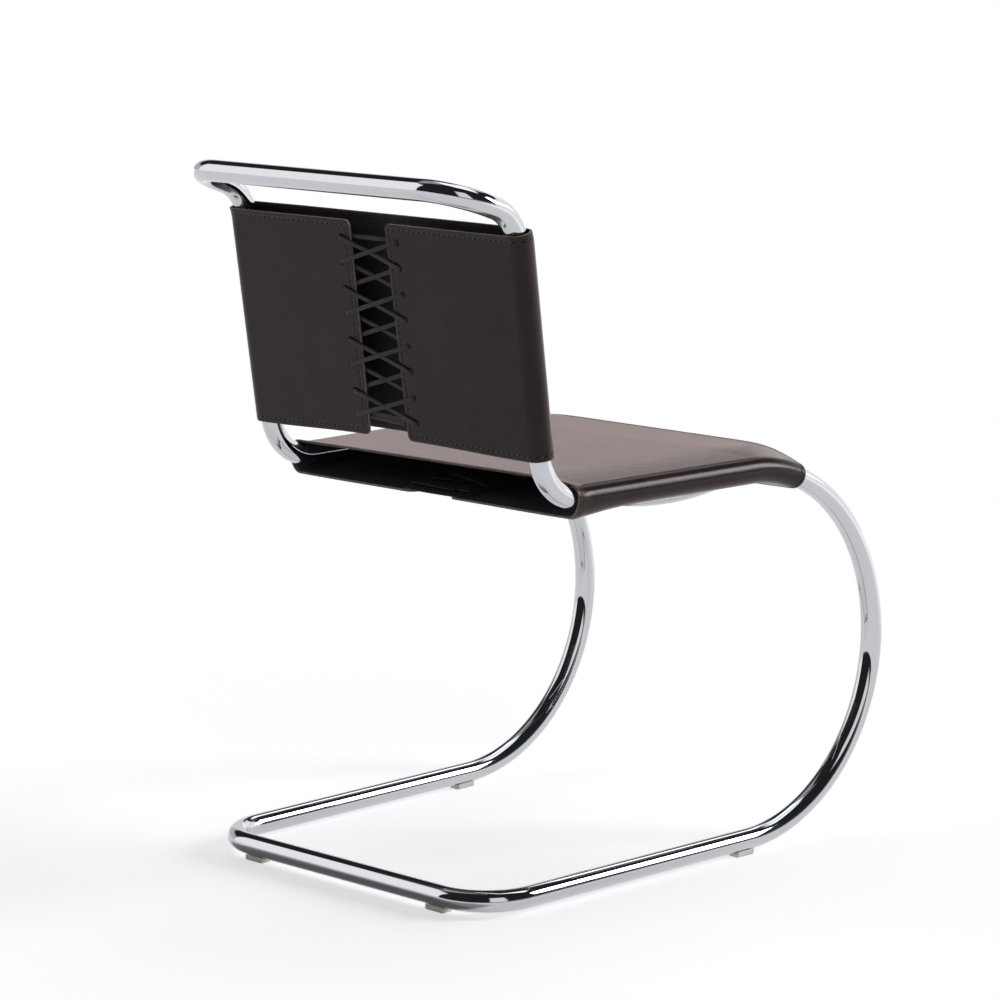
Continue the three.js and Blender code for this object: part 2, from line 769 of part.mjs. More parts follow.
// A tail comes in through its last hole and runs on across the inside
function tailStations(from, level, rise) {
	const across = X.clone().multiplyScalar(-Math.sign(from.x));
	const root = rowPoint(from.row, from.x, level + laceBend);
	const stations = holeBend(root, from.row.out.clone().negate(), across);
	const last = stations[stations.length - 1].point;
	tailRunShares.forEach((runShare, i) => {
		const point = last.clone().addScaledVector(across, runShare * laceTail);
		stations.push({ point: point.addScaledVector(rise, tailRiseShares[i]), tangent: across.clone() });
	});
	return stations;
}

function lace(rows, rowsUp) {
	const hole = (i, side) => ({ row: rows[i], x: side * laceHoleSpread / 2 });
	const outside = faceOuter + laceDiameter / 2 + laceClearance;
	const inside = liningInner - laceDiameter / 2 - laceClearance;
	const lift = (laceDiameter + fit) / 2;
	const runDown = (side) => {
		const stations = [];
		for (let i = 0; i + 1 < rows.length; i++) {
			const level = i % 2 === 0 ? outside : inside;
			const from = hole(i, side);
			const to = hole(i + 1, -side);
			stations.push(...strandStations(from, to, level, side < 0 ? lift : -lift));
			side = -side;
		}
		const rise = rowsUp.clone().multiplyScalar(-side * laceTailRise / 2);
		stations.push(...tailStations(hole(rows.length - 1, side), inside, rise));
		return stations;
	};
	const right = runDown(1);
	const left = backwards(runDown(-1));
	const bar = strandStations(hole(0, -1), hole(0, 1), inside, 0);
	return sweptRod(new StationPath([...left, ...bar, ...right]), laceDiameter / 2, laceSides);
}

// Materials
const chrome = { color: 0xd8dadd, roughness: 0.06, metalness: 1 };
const zinc = { color: 0x9a9c9e, roughness: 0.35, metalness: 1 };
const leather = { color: 0x2f2a2b, roughness: 0.5, metalness: 0 };
const lining = { color: 0x100f12, roughness: 0.8, metalness: 0 };
const thong = { color: 0x2a2627, roughness: 0.55, metalness: 0 };
const glide = { color: 0xcfc8b8, roughness: 0.4, metalness: 0 };

const chair = new THREE.Group();

function add(name, geometry, look) {
	const mesh = new THREE.Mesh(geometry, new THREE.MeshStandardMaterial(look));
	mesh.name = name;
	chair.add(mesh);
}

add('lower_frame_tube', lowerFrameTube(), chrome);
add('upper_frame_tube', upperFrameTube(), chrome);
add('front_stretcher', stretcher(), chrome);
for (const [side, name] of [[-1, 'left'], [1, 'right']]) {
	add(name + '_joint_sleeve', jointSleeve(side), zinc);
	jointScrewSeats(side).forEach((seat, i) => {
		const end = i === 0 ? 'front' : 'rear';
		add(name + '_joint_screw_' + end, countersunkScrew(jointScrewDiameter, jointScrewLength, ...seat), zinc);
	});
	const long = countersunkScrew(stretcherScrewDiameter, stretcherScrewLength, ...stretcherScrewSeat(side));
	add(name + '_stretcher_screw', long, zinc);
}
for (const place of padPlaces()) {
	add(place.name, pad(place), glide);
	add(place.name + '_screw', padScrew(place), zinc);
}
add('back_sling_leather', backLayer(faceInner, faceOuter), leather);
add('back_sling_lining', backLayer(liningInner, liningOuter), lining);
add('back_lace', lace(backRows(), postUp), thong);
add('seat_sling_leather', seatLayer(faceInner, faceOuter), leather);
add('seat_sling_lining', seatLayer(liningInner, liningOuter), lining);
add('seat_lace', lace(seatRows(), Y), thong);

export default chair;
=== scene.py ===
# %% [markdown]
# # A cantilever chair: bent tube, laced leather
#
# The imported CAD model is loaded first. It stays as it is, and every surface in this lesson is built
# around it in metres: +Z is up, the sitter faces -Y, and the floor is z = 0.

# %% Load the frame
import math

import bpy
import numpy as np
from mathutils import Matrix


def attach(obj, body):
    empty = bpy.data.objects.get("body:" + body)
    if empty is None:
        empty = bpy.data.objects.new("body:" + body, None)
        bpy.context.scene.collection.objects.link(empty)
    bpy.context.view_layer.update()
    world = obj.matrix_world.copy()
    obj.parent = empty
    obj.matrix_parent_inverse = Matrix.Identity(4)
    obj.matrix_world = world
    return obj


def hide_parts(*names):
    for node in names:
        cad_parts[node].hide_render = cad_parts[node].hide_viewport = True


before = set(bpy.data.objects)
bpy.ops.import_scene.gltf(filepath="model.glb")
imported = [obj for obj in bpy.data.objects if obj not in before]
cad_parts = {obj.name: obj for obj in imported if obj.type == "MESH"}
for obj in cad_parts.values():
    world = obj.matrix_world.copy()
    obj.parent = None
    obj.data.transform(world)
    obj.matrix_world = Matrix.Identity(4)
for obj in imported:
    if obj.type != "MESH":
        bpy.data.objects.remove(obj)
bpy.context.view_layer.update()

MM = 0.001

# %% [markdown]
# ## The camera
#
# The photograph looks at the chair's back from the rear left, a little from above, through a long lens.
# A camera object points along its own -Z, so its turn about X is 90 degrees less the angle down.

# %% Camera
CAMERA_AZIMUTH = math.radians(224.73)
CAMERA_ELEVATION = math.radians(9.821)
CAMERA_PLACE = (-3.14936, 3.23308, 1.18805)
CAMERA_LENS_MM, SENSOR_MM = 140.57, 36
CAMERA_FAR_END = 200

camera_data = bpy.data.cameras.new("camera")
camera_data.sensor_width = SENSOR_MM
camera_data.lens = CAMERA_LENS_MM
camera_data.clip_end = CAMERA_FAR_END
camera = bpy.data.objects.new("camera", camera_data)
camera.location = CAMERA_PLACE
camera.rotation_euler = (math.radians(90) - CAMERA_ELEVATION, 0, CAMERA_AZIMUTH)
bpy.context.scene.collection.objects.link(camera)
bpy.context.scene.camera = camera
print("camera at", CAMERA_PLACE)

# %% [markdown]
# ## Nodes in a few words
#
# A material is a graph of nodes. Small helpers keep the graphs readable: they add a node and set its
# values, join two sockets, do sums, and make a noise pattern or a relief.

# %% Node helpers
def add_node(tree, kind, **values):
    """A node of one kind. A value whose name is one of the node's own settings goes there, and any
    other goes to the input socket of that name, with _ for a space."""
    node = tree.nodes.new(kind)
    for name, value in values.items():
        if hasattr(node, name):
            setattr(node, name, value)
        else:
            node.inputs[name.replace("_", " ")].default_value = value
    return node


def join(tree, source, target):
    tree.links.new(source, target)


def math_node(tree, operation, first, second=None, third=None):
    """operation on sockets or plain numbers; returns the result's socket."""
    node = tree.nodes.new("ShaderNodeMath")
    node.operation = operation
    for socket, value in zip(node.inputs, (first, second, third)):
        if value is None:
            continue
        if isinstance(value, (int, float)):
            socket.default_value = value
        else:
            join(tree, value, socket)
    return node.outputs[0]


def ramp(tree, factor, low, high, from_value=0.0, to_value=1.0):
    """factor from low to high becomes from_value to to_value, smoothly and no further."""
    node = tree.nodes.new("ShaderNodeMapRange")
    node.interpolation_type = "SMOOTHSTEP"
    join(tree, factor, node.inputs["Value"])
    for name, value in (("From Min", low), ("From Max", high), ("To Min", from_value), ("To Max", to_value)):
        node.inputs[name].default_value = value
    return node.outputs["Result"]


def noise(tree, place, scale, detail=3.0, roughness=0.55):
    """Noise whose features are about 1 / scale metres wide."""
    node = add_node(tree, "ShaderNodeTexNoise", Scale=scale, Detail=detail, Roughness=roughness)
    join(tree, place, node.inputs["Vector"])
    return node.outputs["Fac"]


def mix_colours(tree, factor, first, second):
    """first where factor is 0 and second where it is 1; each is a socket or a colour."""
    node = tree.nodes.new("ShaderNodeMix")
    node.data_type = "RGBA"
    join(tree, factor, node.inputs["Factor"])
    for socket, value in ((node.inputs["A"], first), (node.inputs["B"], second)):
        if isinstance(value, tuple):
            socket.default_value = (*value, 1.0)
        else:
            join(tree, value, socket)
    return node.outputs["Result"]


def new_material(name):
    """An empty graph with a Principled shader: (material, tree, shader, the piece's own place)."""
    material = bpy.data.materials.new(name)
    material.use_nodes = True
    tree = material.node_tree
    place = add_node(tree, "ShaderNodeTexCoord").outputs["Object"]
    return material, tree, tree.nodes["Principled BSDF"], place


def add_relief(tree, shader, height, strength, depth):
    """Small bumps in the shading: height is a socket, and depth is in metres."""
    bump = add_node(tree, "ShaderNodeBump", Strength=strength, Distance=depth)
    join(tree, height, bump.inputs["Height"])
    join(tree, bump.outputs["Normal"], shader.inputs["Normal"])


def set_inputs(shader, **values):
    """Constants on the shader's own sockets, with _ for a space in a name."""
    for name, value in values.items():
        shader.inputs[name.replace("_", " ")].default_value = value


# %% [markdown]
# ## The studio
#
# Chrome shows nothing but its surroundings. The photograph's studio has a white floor, a bright screen
# beyond the chair with a window and a lamp over it, tall soft lights to both sides, one overhead, and
# black gaps between them, which draw the dark lines along the tube. The world paints those by direction:
# each light is a soft-edged rectangle of azimuth and elevation. The camera sees plain white past the floor.

# %% World
STUDIO_DARK = 0.02
WARM_ELEVATION, COOL_ELEVATION = math.radians(32), math.radians(50)
WARM_LIGHT, COOL_LIGHT = (1.0, 1.0, 1.0), (0.95, 0.97, 1.06)
# name: azimuth from and to, elevation from and to, and softness of the sides in degrees (azimuth 0 is
# -Y and 90 is +X), brightness
STUDIO_LIGHTS = {
    "screen behind": (-45, 41, -14, 23, 4, 1.12),
    "screen behind, top": (-45, 33, 15, 30, 4, 1.12),
    "screen behind, left end": (-37, -6, 4, 28, 9, 1.7),
    "screen behind, right end": (36, 68, -14, 25, 5, 0.82),
    "window over the screen": (-45, -26, 13, 39, 3, 15.0),
    "lamp over the screen": (13, 36, 33, 48, 5, 2.0),
    "gap in the ceiling": (13, 38, 37, 60, 6, 1.1),
    "side light, left": (-132, -97, 2, 50, 6, 0.95),
    "side light, right": (100, 141, -5, 47, 4, 1.2),
    "far wall, right": (60, 106, -8, 24, 8, 0.6),
    "far wall, left": (-104, -42, -8, 13, 9, 0.3),
    "overhead light": (-34, 62, 50, 84, 6, 1.7),
    "ceiling, right": (50, 118, 44, 84, 8, 0.4),
    "low horizon": (-104, 142, -12, 3, 3, 0.75),
}

world = bpy.data.worlds.new("studio")
bpy.context.scene.world = world
world.use_nodes = True
sky = world.node_tree
direction = add_node(sky, "ShaderNodeTexCoord").outputs["Generated"]
axes = add_node(sky, "ShaderNodeSeparateXYZ")
join(sky, direction, axes.inputs[0])
x_way, y_way, z_way = axes.outputs
elevation = math_node(sky, "ARCSINE", z_way)
azimuth = math_node(sky, "ARCTAN2", x_way, math_node(sky, "MULTIPLY", y_way, -1.0))


def soft_box(west, east, low, high, softness, brightness):
    """brightness inside a rectangle of directions, fading to nothing at each side."""
    west, east, low, high, softness = (math.radians(a) for a in (west, east, low, high, softness))
    sides = (
        ramp(sky, azimuth, west, west + softness),
        ramp(sky, azimuth, east - softness, east, 1.0, 0.0),
        ramp(sky, elevation, low, low + softness),
        ramp(sky, elevation, high - softness, high, 1.0, 0.0),
    )
    inside = math_node(sky, "MULTIPLY", sides[0], sides[1])
    inside = math_node(sky, "MULTIPLY", inside, sides[2])
    inside = math_node(sky, "MULTIPLY", inside, sides[3])
    return math_node(sky, "MULTIPLY", inside, brightness)


level = add_node(sky, "ShaderNodeLightPath").outputs["Is Camera Ray"]
for light in STUDIO_LIGHTS.values():
    level = math_node(sky, "MAXIMUM", level, soft_box(*light))
level = math_node(sky, "MAXIMUM", level, STUDIO_DARK)
background = sky.nodes["Background"]
join(sky, level, background.inputs["Strength"])
cool = ramp(sky, elevation, WARM_ELEVATION, COOL_ELEVATION)
join(sky, mix_colours(sky, cool, WARM_LIGHT, COOL_LIGHT), background.inputs["Color"])
print("world with", len(STUDIO_LIGHTS), "lights by direction")

# %% [markdown]
# The floor is one wide disc. It fills the whole picture behind the chair, so it has to look white and
# still take the chair's faint shadow. It is a plain diffuse floor with a glow that only the camera and
# the mirror reflections see, so that no more light falls on the chair. In the chrome the floor is
# darker along the rear rail, where the chair shades it, and brighter out by the screen.

# %% Floor
FLOOR_RADIUS, FLOOR_SIDES = 60, 96
FLOOR_COLOUR = 0.8
FLOOR_GLOW, MIRRORED_GLOW = 0.55, 0.42
SHADED_FROM, SHADED_TO = (0.30, 0.31), (0.36, 0.45)
SHADED_SIDE = (0.22, 0.27)
SHADED_GLOW, SCREEN_GLOW = -0.46, 0.42
SCREEN_FLOOR = (-2.4, -0.9)

angles = np.linspace(0, 2 * math.pi, FLOOR_SIDES, endpoint=False)
rim = np.stack([np.cos(angles), np.sin(angles), np.zeros(FLOOR_SIDES)], axis=1) * FLOOR_RADIUS
floor_mesh = bpy.data.meshes.new("floor")
floor_mesh.from_pydata(rim.tolist(), [], [list(range(FLOOR_SIDES))])
floor = bpy.data.objects.new("floor", floor_mesh)
bpy.context.scene.collection.objects.link(floor)

floor_material, tree, shader, place = new_material("white_floor")
set_inputs(shader, Base_Color=(FLOOR_COLOUR,) * 3 + (1,), Roughness=0.9, Specular_IOR_Level=0.0,
           Emission_Color=(1, 1, 1, 1))
rays = add_node(tree, "ShaderNodeLightPath")
floor_place = add_node(tree, "ShaderNodeSeparateXYZ")
join(tree, place, floor_place.inputs[0])
floor_x, floor_y, _ = floor_place.outputs
from_middle = math_node(tree, "ABSOLUTE", floor_x)
shaded = math_node(tree, "MULTIPLY", ramp(tree, floor_y, *SHADED_FROM),
                   ramp(tree, floor_y, *SHADED_TO, 1.0, 0.0))
shaded = math_node(tree, "MULTIPLY", shaded, ramp(tree, from_middle, *SHADED_SIDE, 1.0, 0.0))
mirrored = math_node(tree, "MULTIPLY_ADD", shaded, SHADED_GLOW, MIRRORED_GLOW)
by_screen = ramp(tree, floor_y, *SCREEN_FLOOR, 1.0, 0.0)
mirrored = math_node(tree, "MULTIPLY_ADD", by_screen, SCREEN_GLOW, mirrored)
glow = math_node(tree, "MULTIPLY", rays.outputs["Is Glossy Ray"], mirrored)
glow = math_node(tree, "MULTIPLY_ADD", rays.outputs["Is Camera Ray"], FLOOR_GLOW, glow)
join(tree, glow, shader.inputs["Emission Strength"])
floor_mesh.materials.append(floor_material)
print("floor radius", FLOOR_RADIUS, "m")

# %% [markdown]
# ## Finishes
#
# Chrome is a mirror with very little blur. Real plating isn't perfect: the blur changes a little from
# place to place, and the surface has faint long waves, which make the dark lines wander.

# %% Chrome and other plain finishes
def chrome_finish():
    """A mirror whose blur follows broad noise, with faint long waves."""
    material, tree, shader, place = new_material("chrome")
    set_inputs(shader, Base_Color=(0.62, 0.63, 0.65, 1), Metallic=1.0)
    join(tree, ramp(tree, noise(tree, place, 35), 0.35, 0.7, 0.025, 0.07), shader.inputs["Roughness"])
    add_relief(tree, shader, noise(tree, place, 55, detail=1.0), 0.25, 0.06 * MM)
    return material


def speckled_finish(name, scale, dark, light, rough, detail=3.0, relief=None, **constants):
    """Two colours mixed by one noise. rough is one roughness, or those of the dark and the light specks,
    and relief is a strength and a depth."""
    material, tree, shader, place = new_material(name)
    specks = noise(tree, place, scale, detail=detail)
    join(tree, mix_colours(tree, specks, dark, light), shader.inputs["Base Color"])
    if isinstance(rough, tuple):
        join(tree, ramp(tree, specks, 0.3, 0.7, *rough), shader.inputs["Roughness"])
    else:
        set_inputs(shader, Roughness=rough)
    if relief:
        add_relief(tree, shader, specks, *relief)
    set_inputs(shader, **constants)
    return material


CHROME = chrome_finish()
# Bright zinc on screws and sleeves is greyer and more blurred than the chrome
ZINC = speckled_finish("zinc_plate", 400, (0.5, 0.51, 0.53), (0.64, 0.65, 0.66), (0.28, 0.42), Metallic=1.0)
# The cut edge of a hide is lighter, brown and fibrous: partly its own tan, and partly a painted highlight of
# an edge lit from above
RAW_EDGE_AND_HIGHLIGHT = speckled_finish("raw_leather_edge_and_highlight", 900, (0.13, 0.1, 0.082), (0.42, 0.34, 0.28), (0.45, 0.7),
                           relief=(0.4, 0.1 * MM))
# Waxed sewing thread shows its twist. Inside a needle's hole there is only shade, painted as a near-black
# matt finish
THREAD = speckled_finish("waxed_thread", 3500, (0.05, 0.041, 0.037), (0.09, 0.074, 0.066), 0.45,
                         detail=1.0, relief=(0.5, 0.1 * MM))
NEEDLE_HOLE_SHADE = speckled_finish("needle_hole_shade", 1500, (0.002, 0.0016, 0.0016), (0.008, 0.006, 0.006),
                              (0.7, 0.95), Specular_IOR_Level=0.1)
# The glides are pale, slightly see-through nylon
GLIDE = speckled_finish("nylon_glide", 160, (0.78, 0.75, 0.68), (0.9, 0.87, 0.81), (0.35, 0.5),
                        Subsurface_Weight=0.2, Subsurface_Radius=(0.003, 0.0025, 0.002))

# %% [markdown]
# Saddle leather is nearly black-brown, with a satin surface. Three scales of detail make it: broad
# clouds of colour, the grain's fine cells, and pores. Every leather mesh carries an attribute called
# edge_distance, in metres, which lets the finish paint shade into the pressed stitch line and brown the
# edges.

# %% Leather
STITCH_INSET = 6.2 * MM
GROOVE_HALF, GROOVE_FADE = 0.3 * MM, 1.3 * MM
WORN_FROM, WORN_TO = 0.3 * MM, 2.2 * MM
GROOVE_SHADE, WORN_COLOUR = (0.004, 0.003, 0.003), (0.1, 0.07, 0.055)
BLOOM = (1.0, 0.5, 0.45, 1)


def leather_finish(name, dark, light, rough_low, rough_high, grain, sheen, pressed_line=True):
    """dark and light are the two colours of the clouds; grain is the strength of the surface's relief,
    and sheen that of the warm bloom at a low angle."""
    material, tree, shader, place = new_material(name)
    clouds = ramp(tree, noise(tree, place, 22, detail=5.0, roughness=0.6), 0.3, 0.72)
    colour = mix_colours(tree, clouds, dark, light)
    cells = add_node(tree, "ShaderNodeTexVoronoi", feature="SMOOTH_F1", Scale=950, Smoothness=0.6)
    join(tree, place, cells.inputs["Vector"])
    pores = noise(tree, place, 2600, detail=2.0)
    relief = math_node(tree, "MULTIPLY_ADD", pores, 0.5, cells.outputs["Distance"])
    if pressed_line:
        reach = add_node(tree, "ShaderNodeAttribute", attribute_name="edge_distance").outputs["Fac"]
        away = math_node(tree, "ABSOLUTE", math_node(tree, "SUBTRACT", reach, STITCH_INSET))
        groove = ramp(tree, away, GROOVE_HALF, GROOVE_FADE, 1.0, 0.0)
        worn = ramp(tree, reach, WORN_FROM, WORN_TO, 1.0, 0.0)
        # Painted shade: the pressed stitch line is darkened as if shade lay in its groove
        colour = mix_colours(tree, math_node(tree, "MULTIPLY", groove, 0.7), colour, GROOVE_SHADE)
        colour = mix_colours(tree, math_node(tree, "MULTIPLY", worn, 0.4), colour, WORN_COLOUR)
        relief = math_node(tree, "SUBTRACT", relief, math_node(tree, "MULTIPLY", groove, 1.5))
    join(tree, colour, shader.inputs["Base Color"])
    mottle = noise(tree, place, 130, detail=4.0, roughness=0.65)
    join(tree, ramp(tree, mottle, 0.3, 0.7, rough_low, rough_high), shader.inputs["Roughness"])
    set_inputs(shader, IOR=1.3, Sheen_Weight=sheen, Sheen_Roughness=0.3, Sheen_Tint=BLOOM)
    add_relief(tree, shader, relief, grain, 0.12 * MM)
    return material


LEATHER = leather_finish("saddle_leather", (0.022, 0.0105, 0.0125), (0.029, 0.014, 0.016),
                         0.22, 0.26, 0.3, 0.4)
LINING = leather_finish("lining_leather", (0.02, 0.019, 0.025), (0.03, 0.028, 0.035), 0.55, 0.7, 0.3, 0.0)
# The same lining leather made paler: painted light in the dark pocket under the seat
LINING_WITH_PAINTED_LIGHT = leather_finish("lining_leather_painted_light", (0.09, 0.087, 0.11), (0.125, 0.12, 0.15),
                             0.55, 0.7, 0.3, 0.0)
THONG = leather_finish("thong_leather", (0.034, 0.028, 0.029), (0.05, 0.042, 0.042),
                       0.42, 0.55, 0.5, 0.1, pressed_line=False)
print("finishes:", [m.name for m in bpy.data.materials])

# %% [markdown]
# ## Making meshes from whole arrays
#
# A surface here is a grid of points: rows along the piece and columns across it. The faces of such a
# grid are the same every time, so one function makes them for all pieces.

# %% Mesh helpers
def unit(vectors):
    """Each vector divided by its own length."""
    return vectors / np.linalg.norm(vectors, axis=-1, keepdims=True)


def grid_faces(rows, columns, closed=False):
    """Four corners for each cell of a rows x columns grid; closed joins the last column to the first."""
    index = np.arange(rows * columns).reshape(rows, columns)
    right = np.roll(index, -1, axis=1)
    cells = np.stack([index[:-1], right[:-1], right[1:], index[1:]], axis=-1)
    return (cells if closed else cells[:, :-1]).reshape(-1, 4)


def enclosed_volume(points, faces):
    """A sixth of the sum of a . (b x c) over the triangles: positive when faces point outwards."""
    a, b, c, d = (points[faces[:, i]] for i in range(4))
    return float((a * (np.cross(b, c) + np.cross(c, d))).sum() / 6)


def make_piece(name, points, faces, material, fans=()):
    """A mesh object at the origin that rides on the chair. fans are extra many-cornered faces."""
    points = np.asarray(points, float).reshape(-1, 3)
    mesh = bpy.data.meshes.new(name)
    mesh.from_pydata(points.tolist(), [], [*faces.tolist(), *[list(fan) for fan in fans]])
    mesh.materials.append(material)
    mesh.polygons.foreach_set("use_smooth", np.ones(len(mesh.polygons), bool))
    mesh.update()
    piece = bpy.data.objects.new(name, mesh)
    bpy.context.scene.collection.objects.link(piece)
    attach(piece, "root")
    return piece


# %% [markdown]
# ## The tube
#
# The real frame is one tube, bent cold round formers, so every bend is an arc of a circle and every
# run between bends is straight. The path is therefore a polyline with rounded corners. The skin is a
# circle carried along it. The CAD tube is cut into flats, and chrome would show each one, so the
# visible tube is a finer one on the same line.

# %% Frame sizes
TUBE_RADIUS = 12.5 * MM
POST_TILT = math.radians(8.355)
BACK_BOTTOM, BACK_HEIGHT, BACK_TOP_GAP = 54.5 * MM, 252.5 * MM, 16.4 * MM
POST_LENGTH = BACK_BOTTOM + BACK_HEIGHT + BACK_TOP_GAP
BASE_Z, SEAT_Z = 17.5 * MM, 454 * MM
FRONT_Y, TOP_RAIL_Y = -340 * MM, 340 * MM
BASE_PAST_CORNER, SEAT_FROM_CORNER = 96.5 * MM, 37 * MM
TOP_RUN, TOP_RISE = 87.5 * MM, 30 * MM
POST_TOP_Y = TOP_RAIL_Y - TOP_RUN
CORNER_Y = POST_TOP_Y - POST_LENGTH * math.sin(POST_TILT)
BASE_Y = CORNER_Y + BASE_PAST_CORNER
POST_TOP_Z = SEAT_Z + POST_LENGTH * math.cos(POST_TILT)
TOP_RAIL_Z = POST_TOP_Z + TOP_RISE
HALF_FRONT, HALF_BASE_REAR, HALF_BACK = 236.5 * MM, 224 * MM, 218.5 * MM
ARC_RADIUS = (SEAT_Z - BASE_Z) / 2
ARC_Y, ARC_Z = FRONT_Y + ARC_RADIUS, BASE_Z + ARC_RADIUS
BASE_BEND, REAR_BEND, TOP_BEND, TOP_CORNER = 65 * MM, 62 * MM, 52 * MM, 51 * MM
SEAT_REAR_Y = CORNER_Y - SEAT_FROM_CORNER
REAR_BEND_START = CORNER_Y - REAR_BEND * math.tan((math.pi / 2 - POST_TILT) / 2)
JOINT_Y = (ARC_Y + SEAT_REAR_Y) / 2
JOINT_GAP = 0.35 * MM
SHORTEST_RUN = 0.01 * MM
TUBE_SIDES, STRETCHER_SIDES = 40, 28


def rail_half_width(y):
    """Straight line from the front's half width to the back's."""
    return HALF_FRONT + (HALF_BACK - HALF_FRONT) * (y - FRONT_Y) / (CORNER_Y - FRONT_Y)


def rounded_path(corners, radii, bend_steps=48, line_step=12 * MM):
    """Points and headings along a polyline whose inner corners are arcs. On an arc that turns by an
    angle A from heading h towards m, the point is start + r sin A h + r (1 - cos A) m."""
    corners = np.array(corners, float)
    headings = unit(np.diff(corners, axis=0))
    points, tangents = [corners[:1]], [headings[:1]]

    def run_to(end, heading):
        start = points[-1][-1]
        length = np.linalg.norm(end - start)
        if length < SHORTEST_RUN:
            return
        count = max(2, int(length / line_step))
        share = np.linspace(0, 1, count + 1)[1:, None]
        points.append(start + share * (end - start))
        tangents.append(np.repeat(heading[None], count, axis=0))

    for corner, radius, before, after in zip(corners[1:-1], radii, headings, headings[1:]):
        turn = math.acos(float(np.clip(before @ after, -1, 1)))
        start = corner - before * radius * math.tan(turn / 2)
        inward = unit(after - before * (before @ after))
        run_to(start, before)
        angle = np.linspace(0, turn, bend_steps + 1)[1:, None]
        points.append(start + radius * np.sin(angle) * before + radius * (1 - np.cos(angle)) * inward)
        tangents.append(np.cos(angle) * before + np.sin(angle) * inward)
    run_to(corners[-1], headings[-1])
    return np.concatenate(points), np.concatenate(tangents)


def mirrored_corners(left):
    return left + [(-x, y, z) for x, y, z in reversed(left)]


def circle_along(points, tangents, radius, sides):
    """A circle at each point, square to the heading: P + r (cos v S + sin v U)."""
    reference = np.array([0.31, -0.47, 0.83])
    side = unit(np.cross(tangents, reference))
    up = np.cross(side, tangents)
    turn = np.linspace(0, 2 * math.pi, sides, endpoint=False)
    ring = np.cos(turn)[None, :, None] * side[:, None] + np.sin(turn)[None, :, None] * up[:, None]
    return points[:, None] + radius * ring


def outward(points, faces, fans):
    """faces and fans turned round together if they point inwards."""
    if enclosed_volume(points.reshape(-1, 3), faces) < 0:
        return faces[:, ::-1], [fan[::-1] for fan in fans]
    return faces, fans


def rod_caps(rows, sides):
    """The first and the last ring of a rod as two many-cornered faces."""
    return [list(range(sides))[::-1], list(range((rows - 1) * sides, rows * sides))]


def swept_rod(name, points, tangents, radius, sides):
    """A chromed round rod along the path."""
    skin = circle_along(points, tangents, radius, sides)
    rows = len(points)
    faces, caps = outward(skin, grid_faces(rows, sides, closed=True), rod_caps(rows, sides))
    return make_piece(name, skin, faces, CHROME, caps)


# %% The two halves of the frame
lower_corners = mirrored_corners([
    (-rail_half_width(JOINT_Y), JOINT_Y, SEAT_Z),
    (-HALF_FRONT, FRONT_Y, SEAT_Z),
    (-HALF_FRONT, FRONT_Y, BASE_Z),
    (-HALF_BASE_REAR, BASE_Y, BASE_Z),
])
upper_start = JOINT_Y + JOINT_GAP
upper_corners = mirrored_corners([
    (-rail_half_width(upper_start), upper_start, SEAT_Z),
    (-HALF_BACK, CORNER_Y, SEAT_Z),
    (-HALF_BACK, POST_TOP_Y, POST_TOP_Z),
    (-HALF_BACK, TOP_RAIL_Y, TOP_RAIL_Z),
])
lower_radii = [ARC_RADIUS, ARC_RADIUS, BASE_BEND]
upper_radii = [REAR_BEND, TOP_BEND, TOP_CORNER]
for piece_name, corners, radii in (
    ("lower_frame", lower_corners, lower_radii),
    ("upper_frame", upper_corners, upper_radii),
):
    path, headings = rounded_path(corners, radii + radii[::-1])
    tube = swept_rod(piece_name, path, headings, TUBE_RADIUS, TUBE_SIDES)
    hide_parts(piece_name + "_tube")
    print(piece_name, len(tube.data.polygons), "faces")

# %% [markdown]
# The stretcher is a thinner rod that bows down between the seat rails, so that it clears the leather
# when somebody sits. Its line is an arc of one circle, found from its half span and its bow.

# %% Stretcher
STRETCHER_RADIUS = 6 * MM
STRETCHER_BOW = 59 * MM
STRETCHER_BEHIND_ARC = 11.75 * MM
STRETCHER_Y = ARC_Y + STRETCHER_BEHIND_ARC
INTO_TUBE = 0.5 * MM

BOW_SAMPLES = 97
half_span = rail_half_width(STRETCHER_Y)
bow_radius = (half_span ** 2 + STRETCHER_BOW ** 2) / (2 * STRETCHER_BOW)
end_angle = math.asin(half_span / bow_radius)
reach_angle = end_angle - (TUBE_RADIUS - INTO_TUBE) / bow_radius
turn = np.linspace(-reach_angle, reach_angle, BOW_SAMPLES)
bow = np.stack([
    bow_radius * np.sin(turn),
    np.full_like(turn, STRETCHER_Y),
    SEAT_Z - bow_radius * (np.cos(turn) - math.cos(end_angle)),
], axis=1)
bow_headings = np.stack([np.cos(turn), np.zeros_like(turn), np.sin(turn)], axis=1)
stretcher = swept_rod("stretcher", bow, bow_headings, STRETCHER_RADIUS, STRETCHER_SIDES)
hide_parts("front_stretcher")
print("stretcher bow", STRETCHER_BOW)

# %% [markdown]
# ## Leather as a map from the flat cut to the chair
#
# A sling is a flat strip before it goes on: s runs round it, with s = 0 in the middle of the side that
# the sitter touches, and t runs along the tubes. One function says where each (s, t) of the strip ends
# up in space, at a reach from the tubes' centres. The grid, the stitches, the lace holes and the thong
# all use that one function, so they stay together.

